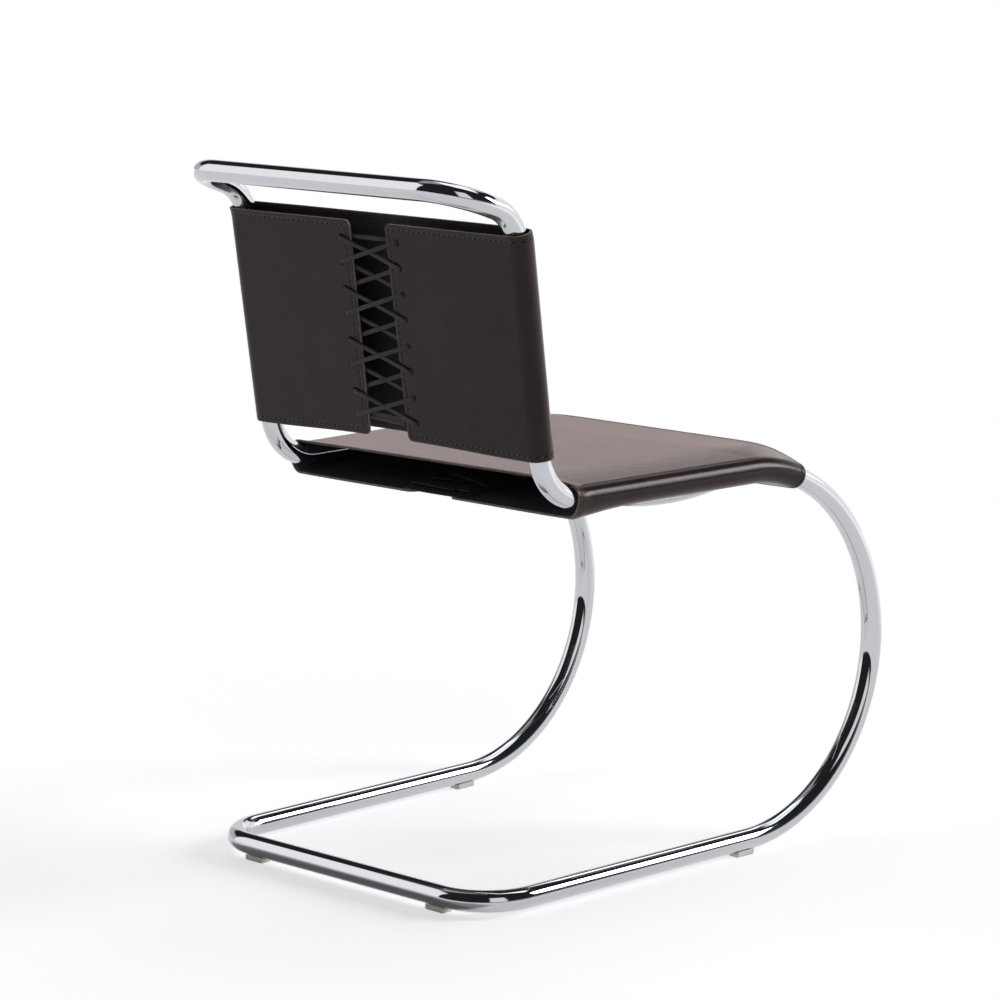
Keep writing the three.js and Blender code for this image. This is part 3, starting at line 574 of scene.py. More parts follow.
# %% Sizes of the leather
LINING_THICKNESS = 1.15 * MM
TUBE_GAP, LAYER_GAP = 0.35 * MM, 0.1 * MM
LINING_INNER = TUBE_RADIUS + TUBE_GAP
LINING_OUTER = LINING_INNER + LINING_THICKNESS
FACE_INNER = LINING_OUTER + LAYER_GAP
FACE_OUTER = 15.7 * MM
WRAP_RADIUS = (LINING_INNER + FACE_OUTER) / 2
WRAP_LENGTH = math.pi * WRAP_RADIUS
GAP_HALF = 29 * MM
LACE_X = 46.5 * MM
BACK_CORNER, SEAT_CORNER = 7 * MM, 12 * MM
GROOVE_DEPTH, GROOVE_WIDTH = 0.35 * MM, 0.9 * MM
SKIVED_DEPTH, SKIVED_WIDTH = 0.35 * MM, 1.8 * MM


def smooth(share):
    """0 to 1 with a level start and end."""
    share = np.clip(share, 0, 1)
    return share * share * (3 - 2 * share)


def split_round(s, half_width):
    """s cut into its parts: distance across the panel, turn round the tube from 0 to 1, and distance
    along the flap from the tube."""
    far = np.abs(s)
    across = np.minimum(far, half_width)
    turned = np.clip((far - half_width) / WRAP_LENGTH, 0, 1)
    along_flap = np.maximum(far - half_width - WRAP_LENGTH, 0)
    return across, turned, along_flap


# %% [markdown]
# The back's tubes are parallel, so its map is panel, half circle and flap. The wrap stands a little
# loose from the tube. Near its upper edge the tubes begin their bend to the rear, and the leather
# follows them there.

# %% Back map
POST_UP = np.array([0, math.sin(POST_TILT), math.cos(POST_TILT)])
POST_BACK = np.array([0, math.cos(POST_TILT), -math.sin(POST_TILT)])
BACK_TOP = BACK_BOTTOM + BACK_HEIGHT
top_turn = math.atan2(math.cos(POST_TILT), math.sin(POST_TILT)) - math.atan2(TOP_RISE, TOP_RUN)
BACK_BEND_START = POST_LENGTH - TOP_BEND * math.tan(top_turn / 2)
PULL_REACH = 90 * MM
LEFT_DROOP, RIGHT_DROOP, TOP_DROP, DROOP_RISE = 3 * MM, 4.5 * MM, 2.7 * MM, 90 * MM
TOP_DROP_SPREAD, TILT_LIMIT = 1.5, 0.6
LEFT_LOOSE, RIGHT_LOOSE = (0.5 * MM, 3.2 * MM), (1.5 * MM, 2.0 * MM)
LOOSE_STEEPNESS = 3.2
FLAP_OUT, FLAP_OUT_WIDTH = 7 * MM, 90 * MM


def back_point(x, back, up):
    """From the corner of the tube's line: x sideways, back to the rear, up along the post."""
    x, back, up = np.broadcast_arrays(x, back, up)
    base = np.array([0, CORNER_Y, SEAT_Z])
    return base + back[..., None] * POST_BACK + up[..., None] * POST_UP + x[..., None] * np.array([1.0, 0, 0])


def back_height_share(t):
    """0 at the back's lower edge and 1 at its upper edge."""
    return np.clip((t - BACK_BOTTOM) / BACK_HEIGHT, 0, 1)


def flap_shift(x, t):
    """The right flap is drawn outwards: most at its lower inner corner, and not at the tube or above."""
    right_share = smooth(0.5 + x / FLAP_OUT_WIDTH)
    return FLAP_OUT * (1 - back_height_share(t)) * right_share * (1 - np.abs(x) / HALF_BACK)


def back_map(s, t, reach):
    """Panel: (s, -reach). Wrap: the tube's centre + (reach + loose) (sin a, -cos a). Flap: (w - f,
    +reach). The lower edge is pulled up between the tubes, so at the tubes it droops by a smooth share,
    and the flaps' upper edge lies a little below the panel's."""
    across, turned, along_flap = split_round(s, HALF_BACK)
    near_tube = smooth(1 - (HALF_BACK - across + along_flap) / (2 * DROOP_RISE))
    droop = np.where(s < 0, LEFT_DROOP, RIGHT_DROOP)
    t = t - droop * near_tube * smooth(1 - (t - BACK_BOTTOM) / DROOP_RISE)
    t = t - TOP_DROP * smooth(turned * TOP_DROP_SPREAD) * smooth(1 - (BACK_TOP - t) / DROOP_RISE)
    height = back_height_share(t)
    loose = np.where(s < 0, np.interp(height, (0, 1), LEFT_LOOSE), np.interp(height, (0, 1), RIGHT_LOOSE))
    reach = reach + loose * smooth(LOOSE_STEEPNESS * turned) * smooth(LOOSE_STEEPNESS * (1 - turned))
    angle = turned * math.pi
    tilt = np.arcsin(np.clip((t - BACK_BEND_START) / TOP_BEND, 0, TILT_LIMIT))
    shift = TOP_BEND * (1 - np.cos(tilt))
    stretch = 1 / np.cos(tilt)
    pull = smooth(1 - (HALF_BACK - across) / PULL_REACH)
    fade = 1 - along_flap / HALF_BACK
    x = np.sign(s) * (across + reach * np.sin(angle) - along_flap)
    x = x + np.where(along_flap > 0, flap_shift(x, t), 0)
    round_tube = shift - reach * stretch * np.cos(angle)
    panel = -reach + pull * (shift - reach * (stretch - 1))
    flap = reach + fade * (shift + reach * (stretch - 1))
    back = np.where(along_flap > 0, flap, np.where(turned > 0, round_tube, panel))
    return back_point(x, back, t)


BACK_S_END = HALF_BACK + WRAP_LENGTH + HALF_BACK - GAP_HALF
print("back's cut is", round(2 * BACK_S_END / MM), "x", round(BACK_HEIGHT / MM), "mm")

# %% [markdown]
# The seat's rails spread towards the front and then turn down in the big arcs, and the leather goes
# round the start of the arcs. Its middle stays level and reaches further forward, so between the two
# the panel is blended with a cubic curve. At the rear edge the leather already stands on the tubes'
# bend: it is lifted with them, and is slack below, where the bend leaves it.

# %% Seat map
FRONT_WRAP = math.radians(21.4)
FRONT_REACH = 92 * MM
FRONT_CROWN = math.radians(19)
FLAP_SAG = 3 * MM
PANEL_BLEND, BLEND_PULL = 112 * MM, 52 * MM
SEAT_STRAIGHT = SEAT_REAR_Y - ARC_Y
SEAT_LENGTH = SEAT_STRAIGHT + ARC_RADIUS * FRONT_WRAP
MOUTH_EASE = 1.7 * MM
SLACK_MIDDLE, SLACK_TUBE = 3.4 * MM, 6.2 * MM
SLACK_FADE = 52 * MM
ROLL_HEIGHT, ROLL_WIDTH = 1.2 * MM, 9 * MM
PANEL_RISE = 3.2 * MM
RISE_SHARE, RISE_TO_LEFT = 0.55, 0.45


def seat_rail(t):
    """At t from the rear edge: the turn round the front arc, the rail's half width, its y and z. On the
    rear bend z rises by r (1 - cos b), where r sin b is the way past the bend's start."""
    angle = np.maximum(t - SEAT_STRAIGHT, 0) / ARC_RADIUS
    y = SEAT_REAR_Y - np.minimum(t, SEAT_STRAIGHT) - ARC_RADIUS * np.sin(angle)
    z = ARC_Z + ARC_RADIUS * np.cos(angle)
    return angle, rail_half_width(y), y, z


def rear_lift(t):
    """The tube's rise on its rear bend at t, and the share of the way from the bend to the edge."""
    past = np.maximum(SEAT_REAR_Y - t - REAR_BEND_START, 0)
    return REAR_BEND - np.sqrt(REAR_BEND ** 2 - past ** 2), past / (SEAT_REAR_Y - REAR_BEND_START)


def flap_slack(t, share):
    """How far the flaps hang below their line: most at the rear edge and at the tube, and fading as
    exp(-(t / fade)^2) towards the front. share is |x| over the half width."""
    return (SLACK_MIDDLE + (SLACK_TUBE - SLACK_MIDDLE) * smooth(share)) * np.exp(-((t / SLACK_FADE) ** 2))


def seat_map(s, t, reach):
    """The panel is a cubic curve from its level middle to the wrap, the wrap is an arc from the crown
    angle to underneath, and the flap is a straight line that sags towards the middle."""
    s, t, reach = np.broadcast_arrays(s, t, reach)
    angle, half_width, y, z = seat_rail(t)
    across, turned, along_flap = split_round(s, half_width)
    share = angle / FRONT_WRAP
    crown = share * FRONT_CROWN
    rise, past_bend = rear_lift(t)
    flap_reach = reach
    reach = reach + MOUTH_EASE * past_bend
    level_y = SEAT_REAR_Y - np.minimum(t, SEAT_STRAIGHT) - share * FRONT_REACH
    down_y, down_z = -np.sin(angle), np.cos(angle)
    # Wrap
    turn = crown + (math.pi - crown) * turned
    wrap_x = half_width + reach * np.sin(turn)
    wrap_y, wrap_z = y + reach * np.cos(turn) * down_y, z + rise + reach * np.cos(turn) * down_z
    # Panel: edge, two pulls and the wrap's start
    p = np.clip((across - (half_width - PANEL_BLEND)) / PANEL_BLEND, 0, 1)
    start_x = half_width + reach * np.sin(crown)
    start_y, start_z = y + reach * np.cos(crown) * down_y, z + rise + reach * np.cos(crown) * down_z
    edge_x, edge_z = half_width - PANEL_BLEND, SEAT_Z + rise + reach
    pull_x = start_x - BLEND_PULL * np.cos(crown)
    pull_y = start_y + BLEND_PULL * np.sin(crown) * down_y
    pull_z = start_z + BLEND_PULL * np.sin(crown) * down_z
    b0, b1, b2, b3 = (1 - p) ** 3, 3 * p * (1 - p) ** 2, 3 * p * p * (1 - p), p ** 3
    panel_x = b0 * edge_x + b1 * (edge_x + BLEND_PULL) + b2 * pull_x + b3 * start_x
    panel_x = np.where(p > 0, panel_x, across)
    panel_y = (b0 + b1) * level_y + b2 * pull_y + b3 * start_y
    panel_z = (b0 + b1) * edge_z + b2 * pull_z + b3 * start_z
    # Between the tubes the panel stands a little proud, by 1 - p^4 and more so on the left, and its
    # rear edge is rolled down
    side_share = RISE_SHARE - RISE_TO_LEFT * np.sign(s) * across / half_width
    panel_z = panel_z + PANEL_RISE * side_share * (1 - p ** 4) * (1 - share)
    rear_share = np.exp(-((t / SLACK_FADE) ** 2))
    panel_z = panel_z + ROLL_HEIGHT * smooth(t / ROLL_WIDTH) * rear_share * smooth(1 - p)
    # Flap, from the wrap's end to the sagging middle
    fall = along_flap / half_width
    out = (reach - rise) * (1 - fall) + (flap_reach + FLAP_SAG) * fall
    flap_x, flap_y, flap_z = half_width - along_flap, y - out * down_y, z - out * down_z
    on_flap, on_wrap = along_flap > 0, turned > 0
    x = np.where(on_flap, flap_x, np.where(on_wrap, wrap_x, panel_x))
    y = np.where(on_flap, flap_y, np.where(on_wrap, wrap_y, panel_y))
    z = np.where(on_flap, flap_z, np.where(on_wrap, wrap_z, panel_z))
    z = z - smooth(turned * 2 - 1) * flap_slack(t, x / half_width)
    return np.stack([np.sign(s) * x, y, z], axis=-1)


def seat_s_end(t):
    """The flap's end, at the gap's edge."""
    half_width = seat_rail(t)[1]
    return 2 * half_width + WRAP_LENGTH - GAP_HALF


print("seat's cut is", round(2 * float(seat_s_end(0.0)) / MM), "x", round(SEAT_LENGTH / MM), "mm")

# %% [markdown]
# ## From the map to a sheet with thickness
#
# The grid's lines crowd near the edges, where the leather thins and the stitch line is pressed in. The
# flaps' corners are rounded by pulling the ends of the rows back: at a distance d < r from the corner
# the end moves by r - sqrt(r^2 - (r - d)^2).

# %% Sheet builder
EDGE_LINES = np.array([0, 0.7, 1.6, 3.0, 4.6, 5.5, 6.5, 7.5, 8.4, 10.5, 14.0]) * MM
ROW_STEP = 6 * MM
FLAP_LINES, WRAP_LINES, PANEL_LINES = 26, 25, 27
EDGE_BULGE = 0.3 * MM


def lines_between(length, step):
    """Distances from 0 to length, crowded at both ends."""
    inner = np.linspace(EDGE_LINES[-1], length - EDGE_LINES[-1], max(2, round(length / step)))
    return np.concatenate([EDGE_LINES[:-1], inner, length - EDGE_LINES[-2::-1]])


def rounded_end(distance, radius):
    """How far a rounded corner pulls an edge back, at a distance from the corner."""
    left = np.clip(radius - distance, 0, radius)
    return radius - np.sqrt(radius ** 2 - left ** 2)


def sheet_lines(length, half_widths, corner):
    """s and t for each grid point, and the distance of each from the outline. The columns are flap,
    wrap, panel, wrap, flap; a row's flap columns share what the rounded corner leaves."""
    t = lines_between(length, ROW_STEP)
    near = np.minimum(t, length - t)
    flap = half_widths(t) - GAP_HALF
    back_off = rounded_end(near, corner)
    spare = flap[0]
    from_end = np.concatenate([EDGE_LINES[:-1], np.linspace(EDGE_LINES[-1], spare, FLAP_LINES)])
    share = from_end / spare
    flap_s = back_off[:, None] + share[None] * (flap - back_off)[:, None]
    end = (half_widths(t) + WRAP_LENGTH + flap)[:, None]
    wrap_s = half_widths(t)[:, None] + WRAP_LENGTH * np.linspace(1, 0, WRAP_LINES)[None, 1:]
    panel_s = half_widths(t)[:, None] * np.linspace(1, 0, PANEL_LINES)[None, 1:]
    half = np.concatenate([end - flap_s, wrap_s, panel_s], axis=1)
    s = np.concatenate([half, -half[:, -2::-1]], axis=1)
    t_grid = np.broadcast_to(t[:, None], s.shape)
    rim_t = np.broadcast_to(near[:, None], s.shape)
    rim_s = end - np.abs(s)
    from_corner = corner - np.hypot(corner - rim_s, corner - rim_t)
    in_corner = (rim_s < corner) & (rim_t < corner)
    rim = np.where(in_corner, from_corner, np.minimum(rim_s, rim_t))
    return s, t_grid, np.maximum(rim, 0)


def sheet_skin(outer, inner):
    """One closed skin from two grids. The rim between them bulges a little, so a cut edge is round."""
    rows, columns = outer.shape[:2]
    size = rows * columns
    index = np.arange(size).reshape(rows, columns)
    border = np.concatenate([index[0, :-1], index[:-1, -1], index[-1, :0:-1], index[:0:-1, 0]])
    inset = np.concatenate([index[1, :-1], index[:-1, -2], index[-2, :0:-1], index[:0:-1, 1]])
    flat_outer, flat_inner = outer.reshape(-1, 3), inner.reshape(-1, 3)
    middle = (flat_outer + flat_inner) / 2
    away = unit(middle[border] - middle[inset])
    ridge = middle[border] + away * EDGE_BULGE
    points = np.concatenate([flat_outer, flat_inner, ridge])
    top = grid_faces(rows, columns)
    under = top[:, ::-1] + size
    step = np.arange(len(border))
    ring = step + 2 * size
    following = np.roll(step, -1)
    upper = np.stack([border[following], border[step], ring[step], ring[following]], axis=1)
    lower = np.stack([ring[following], ring[step], border[step] + size, border[following] + size], axis=1)
    faces = np.concatenate([top, under, upper, lower])
    on_rim = np.arange(len(faces)) >= 2 * len(top)
    if enclosed_volume(points, faces) < 0:
        faces = faces[:, ::-1]
    return points, faces, on_rim, border


def sheet_piece(name, outer, inner, rim, material, edge=RAW_EDGE_AND_HIGHLIGHT):
    """The closed skin between two grids, with its edge's finish and each point's distance from it."""
    points, faces, on_rim, border = sheet_skin(outer, inner)
    piece = make_piece(name, points, faces, material)
    piece.data.materials.append(edge)
    piece.data.polygons.foreach_set("material_index", on_rim.astype(np.int32))
    attribute = piece.data.attributes.new("edge_distance", "FLOAT", "POINT")
    values = np.concatenate([rim.ravel(), rim.ravel(), np.zeros(len(border))])
    attribute.data.foreach_set("value", values.astype(np.float32))
    print(name, len(faces), "faces")
    return piece


def leather_sheet(name, surface, lines, inner, outer, material, pressed):
    """The sheet between two reaches. Where pressed, the outer side dips along the stitch line. At the
    edge it is skived."""
    s, t, rim = lines
    groove = GROOVE_DEPTH * np.exp(-(((rim - STITCH_INSET) / GROOVE_WIDTH) ** 2))
    skived = SKIVED_DEPTH * (1 - smooth(rim / SKIVED_WIDTH))
    out = outer - (groove + skived if pressed else skived)
    return sheet_piece(name, surface(s, t, out), surface(s, t, inner + 0 * s), rim, material)


# %% [markdown]
# ## Lace holes
#
# The holes are punched, so they are cut with rods through the finished sheets. One Boolean cuts all the
# lace holes of a sheet, a second one cuts the seat's slots for the stretcher, and both are applied.

# %% Hole punch
HOLE_RADIUS = 3 * MM
HOLE_DEPTH = 9 * MM
HOLE_SIDES = 16
HOLE_SHARP_ANGLE = math.radians(50)
hole_turn = np.linspace(0, 2 * math.pi, HOLE_SIDES, endpoint=False)
HOLE_OUTLINE = HOLE_RADIUS * np.stack([np.cos(hole_turn), np.sin(hole_turn)], axis=1)


def copies(faces, caps, count, size):
    """The faces and caps of count equal shapes of size points each, one after the other."""
    base = np.arange(count) * size
    all_faces = (faces[None] + base[:, None, None]).reshape(-1, 4)
    return all_faces, [[int(b) + k for k in cap] for b in base for cap in caps]


def punch(piece, centres, ways, outline, depth):
    """Cuts the outline out at each centre, along its way. All the cutters are one mesh: each has the
    ring centre + u side + v up at both of its ends."""
    side = unit(np.cross(ways, np.array([0, 1.0, 0])))
    up = np.cross(ways, side)
    ring = outline[None, :, :1] * side[:, None] + outline[None, :, 1:] * up[:, None]
    ends = [centres[:, None] + ring + end * depth * ways[:, None] for end in (-1, 1)]
    rods = np.stack(ends, axis=1)
    sides = len(outline)
    faces, caps = copies(grid_faces(2, sides, closed=True), rod_caps(2, sides), len(centres), 2 * sides)
    faces, caps = outward(rods, faces, caps)
    mesh = bpy.data.meshes.new("punch")
    mesh.from_pydata(rods.reshape(-1, 3).tolist(), [], [*faces.tolist(), *caps])
    mesh.materials.append(piece.data.materials[0])
    cutter = bpy.data.objects.new("punch", mesh)
    bpy.context.scene.collection.objects.link(cutter)
    boolean = piece.modifiers.new("holes", "BOOLEAN")
    boolean.operation, boolean.solver, boolean.object = "DIFFERENCE", "EXACT", cutter
    depsgraph = bpy.context.evaluated_depsgraph_get()
    cut = bpy.data.meshes.new_from_object(piece.evaluated_get(depsgraph))
    piece.modifiers.clear()
    piece.data = cut
    bpy.data.objects.remove(cutter)
    cut.set_sharp_from_angle(angle=HOLE_SHARP_ANGLE)


# %% Rows of holes
ROW_INSET = 22 * MM
BACK_ROW_COUNT, SEAT_ROW_COUNT = 8, 12
BACK_ROWS = BACK_BOTTOM + np.linspace(BACK_HEIGHT - ROW_INSET, ROW_INSET, BACK_ROW_COUNT)
SEAT_ROWS = np.linspace(ROW_INSET, SEAT_LENGTH - ROW_INSET, SEAT_ROW_COUNT)


def hole_places(surface, rows, half_widths, level):
    """The places of both columns of holes at a reach, and the outward way at each."""
    t = np.repeat(rows, 2)
    side = np.tile([-1.0, 1.0], len(rows))
    s = side * (2 * half_widths(t) + WRAP_LENGTH - LACE_X)
    centre, further = surface(s, t, level + 0 * s), surface(s, t, level + MM + 0 * s)
    return centre, unit(further - centre)


# %% Slings
def sling(part, surface, lines, lining_finish, cuts):
    """Both layers of one sling, with their holes: (leather, inner leather)."""
    leather = leather_sheet(part + "_leather", surface, lines, FACE_INNER, FACE_OUTER,
                            LEATHER, True)
    lining = leather_sheet(part + "_inner_leather", surface, lines, LINING_INNER, LINING_OUTER,
                           lining_finish, False)
    for sheet in (leather, lining):
        for centres, ways, outline, depth in cuts:
            punch(sheet, centres, ways, outline, depth)
    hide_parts(part + "_sling_leather")
    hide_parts(part + "_sling_lining")
    return leather, lining


def back_half_width(t):
    return HALF_BACK + 0 * t


def back_surface(s, t, reach):
    return back_map(s, t + BACK_BOTTOM, reach)


back_lines = sheet_lines(BACK_HEIGHT, back_half_width, BACK_CORNER)
back_holes = hole_places(back_surface, BACK_ROWS - BACK_BOTTOM, back_half_width, FACE_INNER)
back_leather, back_lining = sling("back", back_surface, back_lines, LINING,
                                  [(*back_holes, HOLE_OUTLINE, HOLE_DEPTH)])

# %% [markdown]
# The stretcher's ends go down through the seat's flaps, so each flap has a slot for it: two half circles
# with straight sides between them.

# %% Seat sling
SLOT_LENGTH, SLOT_WIDTH, SLOT_SET_IN, SLOT_DEPTH = 38 * MM, 17 * MM, 31 * MM, 12 * MM
slot_turn = np.linspace(-math.pi / 2, math.pi / 2, 9)
half_slot = np.stack([np.cos(slot_turn), np.sin(slot_turn)], axis=1) * SLOT_WIDTH / 2
half_slot[:, 0] += (SLOT_LENGTH - SLOT_WIDTH) / 2
SLOT_OUTLINE = np.concatenate([half_slot, -half_slot])
slot_x = half_span - SLOT_SET_IN
slot_places = np.array([[x, STRETCHER_Y, SEAT_Z - FACE_OUTER] for x in (-slot_x, slot_x)])
slot_ways = np.array([[0, 0, -1.0]] * 2)


def seat_half_width(t):
    return seat_rail(t)[1]


seat_lines = sheet_lines(SEAT_LENGTH, seat_half_width, SEAT_CORNER)
seat_holes = hole_places(seat_map, SEAT_ROWS, seat_half_width, FACE_INNER)
# The seat's inner leather takes the paler lining, which paints light into its dark pocket
seat_leather, seat_lining = sling("seat", seat_map, seat_lines, LINING_WITH_PAINTED_LIGHT, [
    (*seat_holes, HOLE_OUTLINE, HOLE_DEPTH),
    (slot_places, slot_ways, SLOT_OUTLINE, SLOT_DEPTH),
])

# %% [markdown]
# ## Stitching
#
# A saddle stitch shows as short slanting threads in the pressed line, with a needle hole between each two.
# The threads are little pods of a few faces, and so is the painted shade in each hole, a near-black pod;
# numpy places all of them at once along a rounded rectangle in the flat cut's (s, t).

# %% Stitches
STITCH_PITCH = 8 * MM
STITCH_SIZE = np.array([5.6, 1.0, 1.0]) * MM
NEEDLE_HOLE_SHADE_SIZE = np.array([2.4, 2.0, 0.5]) * MM
STITCH_SLANT, STITCH_LIFT = 0.18, 0.12 * MM
SEAM_STEPS, CORNER_STEPS = 600, 9
PROBE = 0.3 * MM
SMALLEST_CORNER, LOOK_AHEAD = 0.1 * MM, 0.4 * MM


def seam_line(s_end, length, corner):
    """(s, t) along the outline of the cut, set in from its edge, from the middle of the lower side and
    round. s_end gives the flap's end at each t, and each corner is a quarter circle."""
    radius = max(corner - STITCH_INSET, SMALLEST_CORNER)
    t_low, t_high = STITCH_INSET, length - STITCH_INSET
    limit_low, limit_high = (float(s_end(np.array(t))) - STITCH_INSET - radius for t in (t_low, t_high))
    share = np.linspace(-1, 1, SEAM_STEPS)
    t_side = np.linspace(t_low + radius, t_high - radius, SEAM_STEPS // 2)
    s_side = s_end(t_side) - STITCH_INSET
    angle = np.linspace(0, math.pi / 2, CORNER_STEPS)[1:-1]
    out, round_off = radius * np.sin(angle), radius * (1 - np.cos(angle))
    right = np.concatenate([
        np.stack([limit_low + out, t_low + round_off], axis=1),
        np.stack([s_side, t_side], axis=1),
        np.stack([limit_high + out[::-1], t_high - round_off[::-1]], axis=1),
    ])
    low = np.stack([limit_low * share, np.full(SEAM_STEPS, t_low)], axis=1)
    high = np.stack([-limit_high * share, np.full(SEAM_STEPS, t_high)], axis=1)
    return np.concatenate([low, right, high, right[::-1] * (-1, 1), low[:1]])


def along_seam(line, offset):
    """Evenly spaced (s, t) and headings on the seam, the first one at offset pitches."""
    gone = np.concatenate([[0], np.cumsum(np.linalg.norm(np.diff(line, axis=0), axis=1))])
    count = int(gone[-1] / STITCH_PITCH)
    at = (np.arange(count) + offset) * gone[-1] / count
    place = np.stack([np.interp(at, gone, line[:, i]) for i in (0, 1)], axis=1)
    ahead = np.stack([np.interp(at + LOOK_AHEAD, gone, line[:, i]) for i in (0, 1)], axis=1)
    return place, unit(ahead - place)


def pod(rings=5, sides=6):
    """A closed spindle along x: radius sin(pi u)^0.4, with u from end to end."""
    u = np.linspace(0.04, 0.96, rings)
    v = np.linspace(0, 2 * math.pi, sides, endpoint=False)
    radius = np.sin(math.pi * u)[:, None] ** 0.4
    ring = np.stack([np.broadcast_to((u - 0.5)[:, None], (rings, sides)),
                     radius * np.cos(v)[None] / 2, radius * np.sin(v)[None] / 2], axis=-1)
    faces = grid_faces(rings, sides, closed=True)
    return ring.reshape(-1, 3), faces, rod_caps(rings, sides)


def pods(name, surface, places, size, lift, material):
    """A pod at each place, in the axes of the leather there: along, across and outwards."""
    place, heading = places
    slant = np.stack([heading[:, 0] - STITCH_SLANT * heading[:, 1],
                      heading[:, 1] + STITCH_SLANT * heading[:, 0]], axis=1)
    reach = np.full(len(place), FACE_OUTER - GROOVE_DEPTH)
    centre = surface(place[:, 0], place[:, 1], reach)
    ahead = surface(place[:, 0] + PROBE * slant[:, 0], place[:, 1] + PROBE * slant[:, 1], reach)
    aside = surface(place[:, 0] - PROBE * slant[:, 1], place[:, 1] + PROBE * slant[:, 0], reach)
    up = unit(surface(place[:, 0], place[:, 1], reach + PROBE) - centre)
    axes_of = np.stack([unit(ahead - centre), unit(aside - centre), up], axis=1)
    shape, faces, caps = pod()
    points = centre[:, None] + np.einsum("kj,njc->nkc", shape * size, axes_of) + lift * up[:, None]
    faces, caps = outward(points, *copies(faces, caps, len(place), len(shape)))
    make_piece(name, points, faces, material, caps)
    print(name, len(place))


for part, surface, s_end, length, corner in (
    ("back", back_surface, lambda t: BACK_S_END + 0 * t, BACK_HEIGHT, BACK_CORNER),
    ("seat", seat_map, seat_s_end, SEAT_LENGTH, SEAT_CORNER),
):
    line = seam_line(s_end, length, corner)
    pods(part + "_stitching", surface, along_seam(line, 0.5), STITCH_SIZE, STITCH_LIFT, THREAD)
    # Painted shade: a near-black pod in each needle hole
    pods(part + "_needle_hole_shades", surface, along_seam(line, 0.0), NEEDLE_HOLE_SHADE_SIZE, 0.0, NEEDLE_HOLE_SHADE)

# %% [markdown]
# ## The thongs
#
# Each sling is laced with one flat thong. It starts as a bar inside the top holes and goes down in
# crosses, by turns outside and inside the flaps. Its path is a chain of straight runs and quarter turns
# into the holes, smoothed, and its section is a soft rectangle that lies flat on the leather.

# %% Lace path
LACE_WIDTH, LACE_THICKNESS = 5.2 * MM, 2.5 * MM
LACE_GAP, CROSSING_GAP, STRIP_LACE_GAP = 0.35 * MM, 0.25 * MM, 0.5 * MM
LACE_OUTSIDE = FACE_OUTER + LACE_THICKNESS / 2 + LACE_GAP
LACE_INSIDE = LINING_INNER - LACE_THICKNESS / 2 - LACE_GAP
STRIP_HALF, STRIP_THICKNESS, STRIP_GAP = 43 * MM, 1.2 * MM, 0.25 * MM
STRIP_OUTER = LINING_INNER - STRIP_GAP
STRIP_INNER = STRIP_OUTER - STRIP_THICKNESS
SEAT_LACE_INSIDE = STRIP_INNER - LACE_THICKNESS - STRIP_LACE_GAP
LACE_TURN, TAIL_LENGTH, TAIL_RISE = 2.4 * MM, 70 * MM, 3.5 * MM
SHORTEST_LACE_STEP = 0.05 * MM
RUN_STEPS, TAIL_STEPS = 17, 14
LACE_SIDES, LACE_SQUARENESS, LACE_SHARP_ANGLE = 16, 0.45, math.radians(60)
QUARTER = np.linspace(0, math.pi / 2, 6)


def strand(surface_at, start, end, level, bulge, out_level):
    """Points and widthways directions of one strand: a quarter turn out of the hole, a straight run
    with a bulge at its middle where two strands cross, and a quarter turn into the next hole.
    surface_at(x, t, level) places a point on the flaps' plane."""
    (x0, t0), (x1, t1) = start, end
    sign = 1.0 if level > out_level else -1.0
    flat = np.array([x1 - x0, t1 - t0])
    flat_length = float(np.linalg.norm(flat))
    way = flat / flat_length
    out_along = LACE_TURN * (1 - np.cos(QUARTER))
    out_up = level - sign * LACE_TURN * (1 - np.sin(QUARTER))
    run = np.linspace(LACE_TURN, flat_length - LACE_TURN, RUN_STEPS)[1:-1]
    lift = bulge * np.sin(math.pi * (run - LACE_TURN) / (flat_length - 2 * LACE_TURN)) ** 2
    along = np.concatenate([out_along, run, flat_length - out_along[::-1]])
    height = np.concatenate([out_up, level + lift, out_up[::-1]])
    points = surface_at(x0 + along * way[0], t0 + along * way[1], height)
    sideways = surface_at(x0 + along * way[0] - MM * way[1], t0 + along * way[1] + MM * way[0], height)
    return points, sign * unit(sideways - points)


def laced(surface_at, rows, inside):
    """The whole thong from one tail to the other. inside is the level of its inner strands."""
    out_level = FACE_INNER
    lift = (LACE_THICKNESS + CROSSING_GAP) / 2

    def run_down(side):
        parts, x = [], side * LACE_X
        for i in range(len(rows) - 1):
            level = LACE_OUTSIDE if i % 2 == 0 else inside
            bulge = lift if x < 0 else -lift
            parts.append(strand(surface_at, (x, rows[i]), (-x, rows[i + 1]), level, bulge, out_level))
            x = -x
        rise = -math.copysign(TAIL_RISE, x)
        tail = np.linspace(LACE_TURN, TAIL_LENGTH, TAIL_STEPS)[1:]
        along = np.concatenate([LACE_TURN * (1 - np.cos(QUARTER)), tail])
        height = np.concatenate([inside + LACE_TURN * (1 - np.sin(QUARTER)), np.full(len(tail), inside)])
        drift = rise * smooth(along / TAIL_LENGTH)
        toward = -math.copysign(1.0, x)
        points = surface_at(x + toward * along, rows[-1] + drift, height)
        sideways = surface_at(x + toward * along, rows[-1] + drift + MM * toward, height)
        parts.append((points, -unit(sideways - points)))
        return [np.concatenate([part[k] for part in parts]) for k in (0, 1)]

    right, left = run_down(1), run_down(-1)
    bar = strand(surface_at, (-LACE_X, rows[0]), (LACE_X, rows[0]), inside, 0.0, out_level)
    points = np.concatenate([left[0][::-1], bar[0], right[0]])
    sideways = np.concatenate([left[1][::-1], bar[1], right[1]])
    return points, sideways


def softened(values, passes):
    """Each inner point moved to a quarter, a half and a quarter of itself and its neighbours."""
    for _ in range(passes):
        inner = values[:-2] / 4 + values[1:-1] / 2 + values[2:] / 4
        values = np.concatenate([values[:1], inner, values[-1:]])
    return values


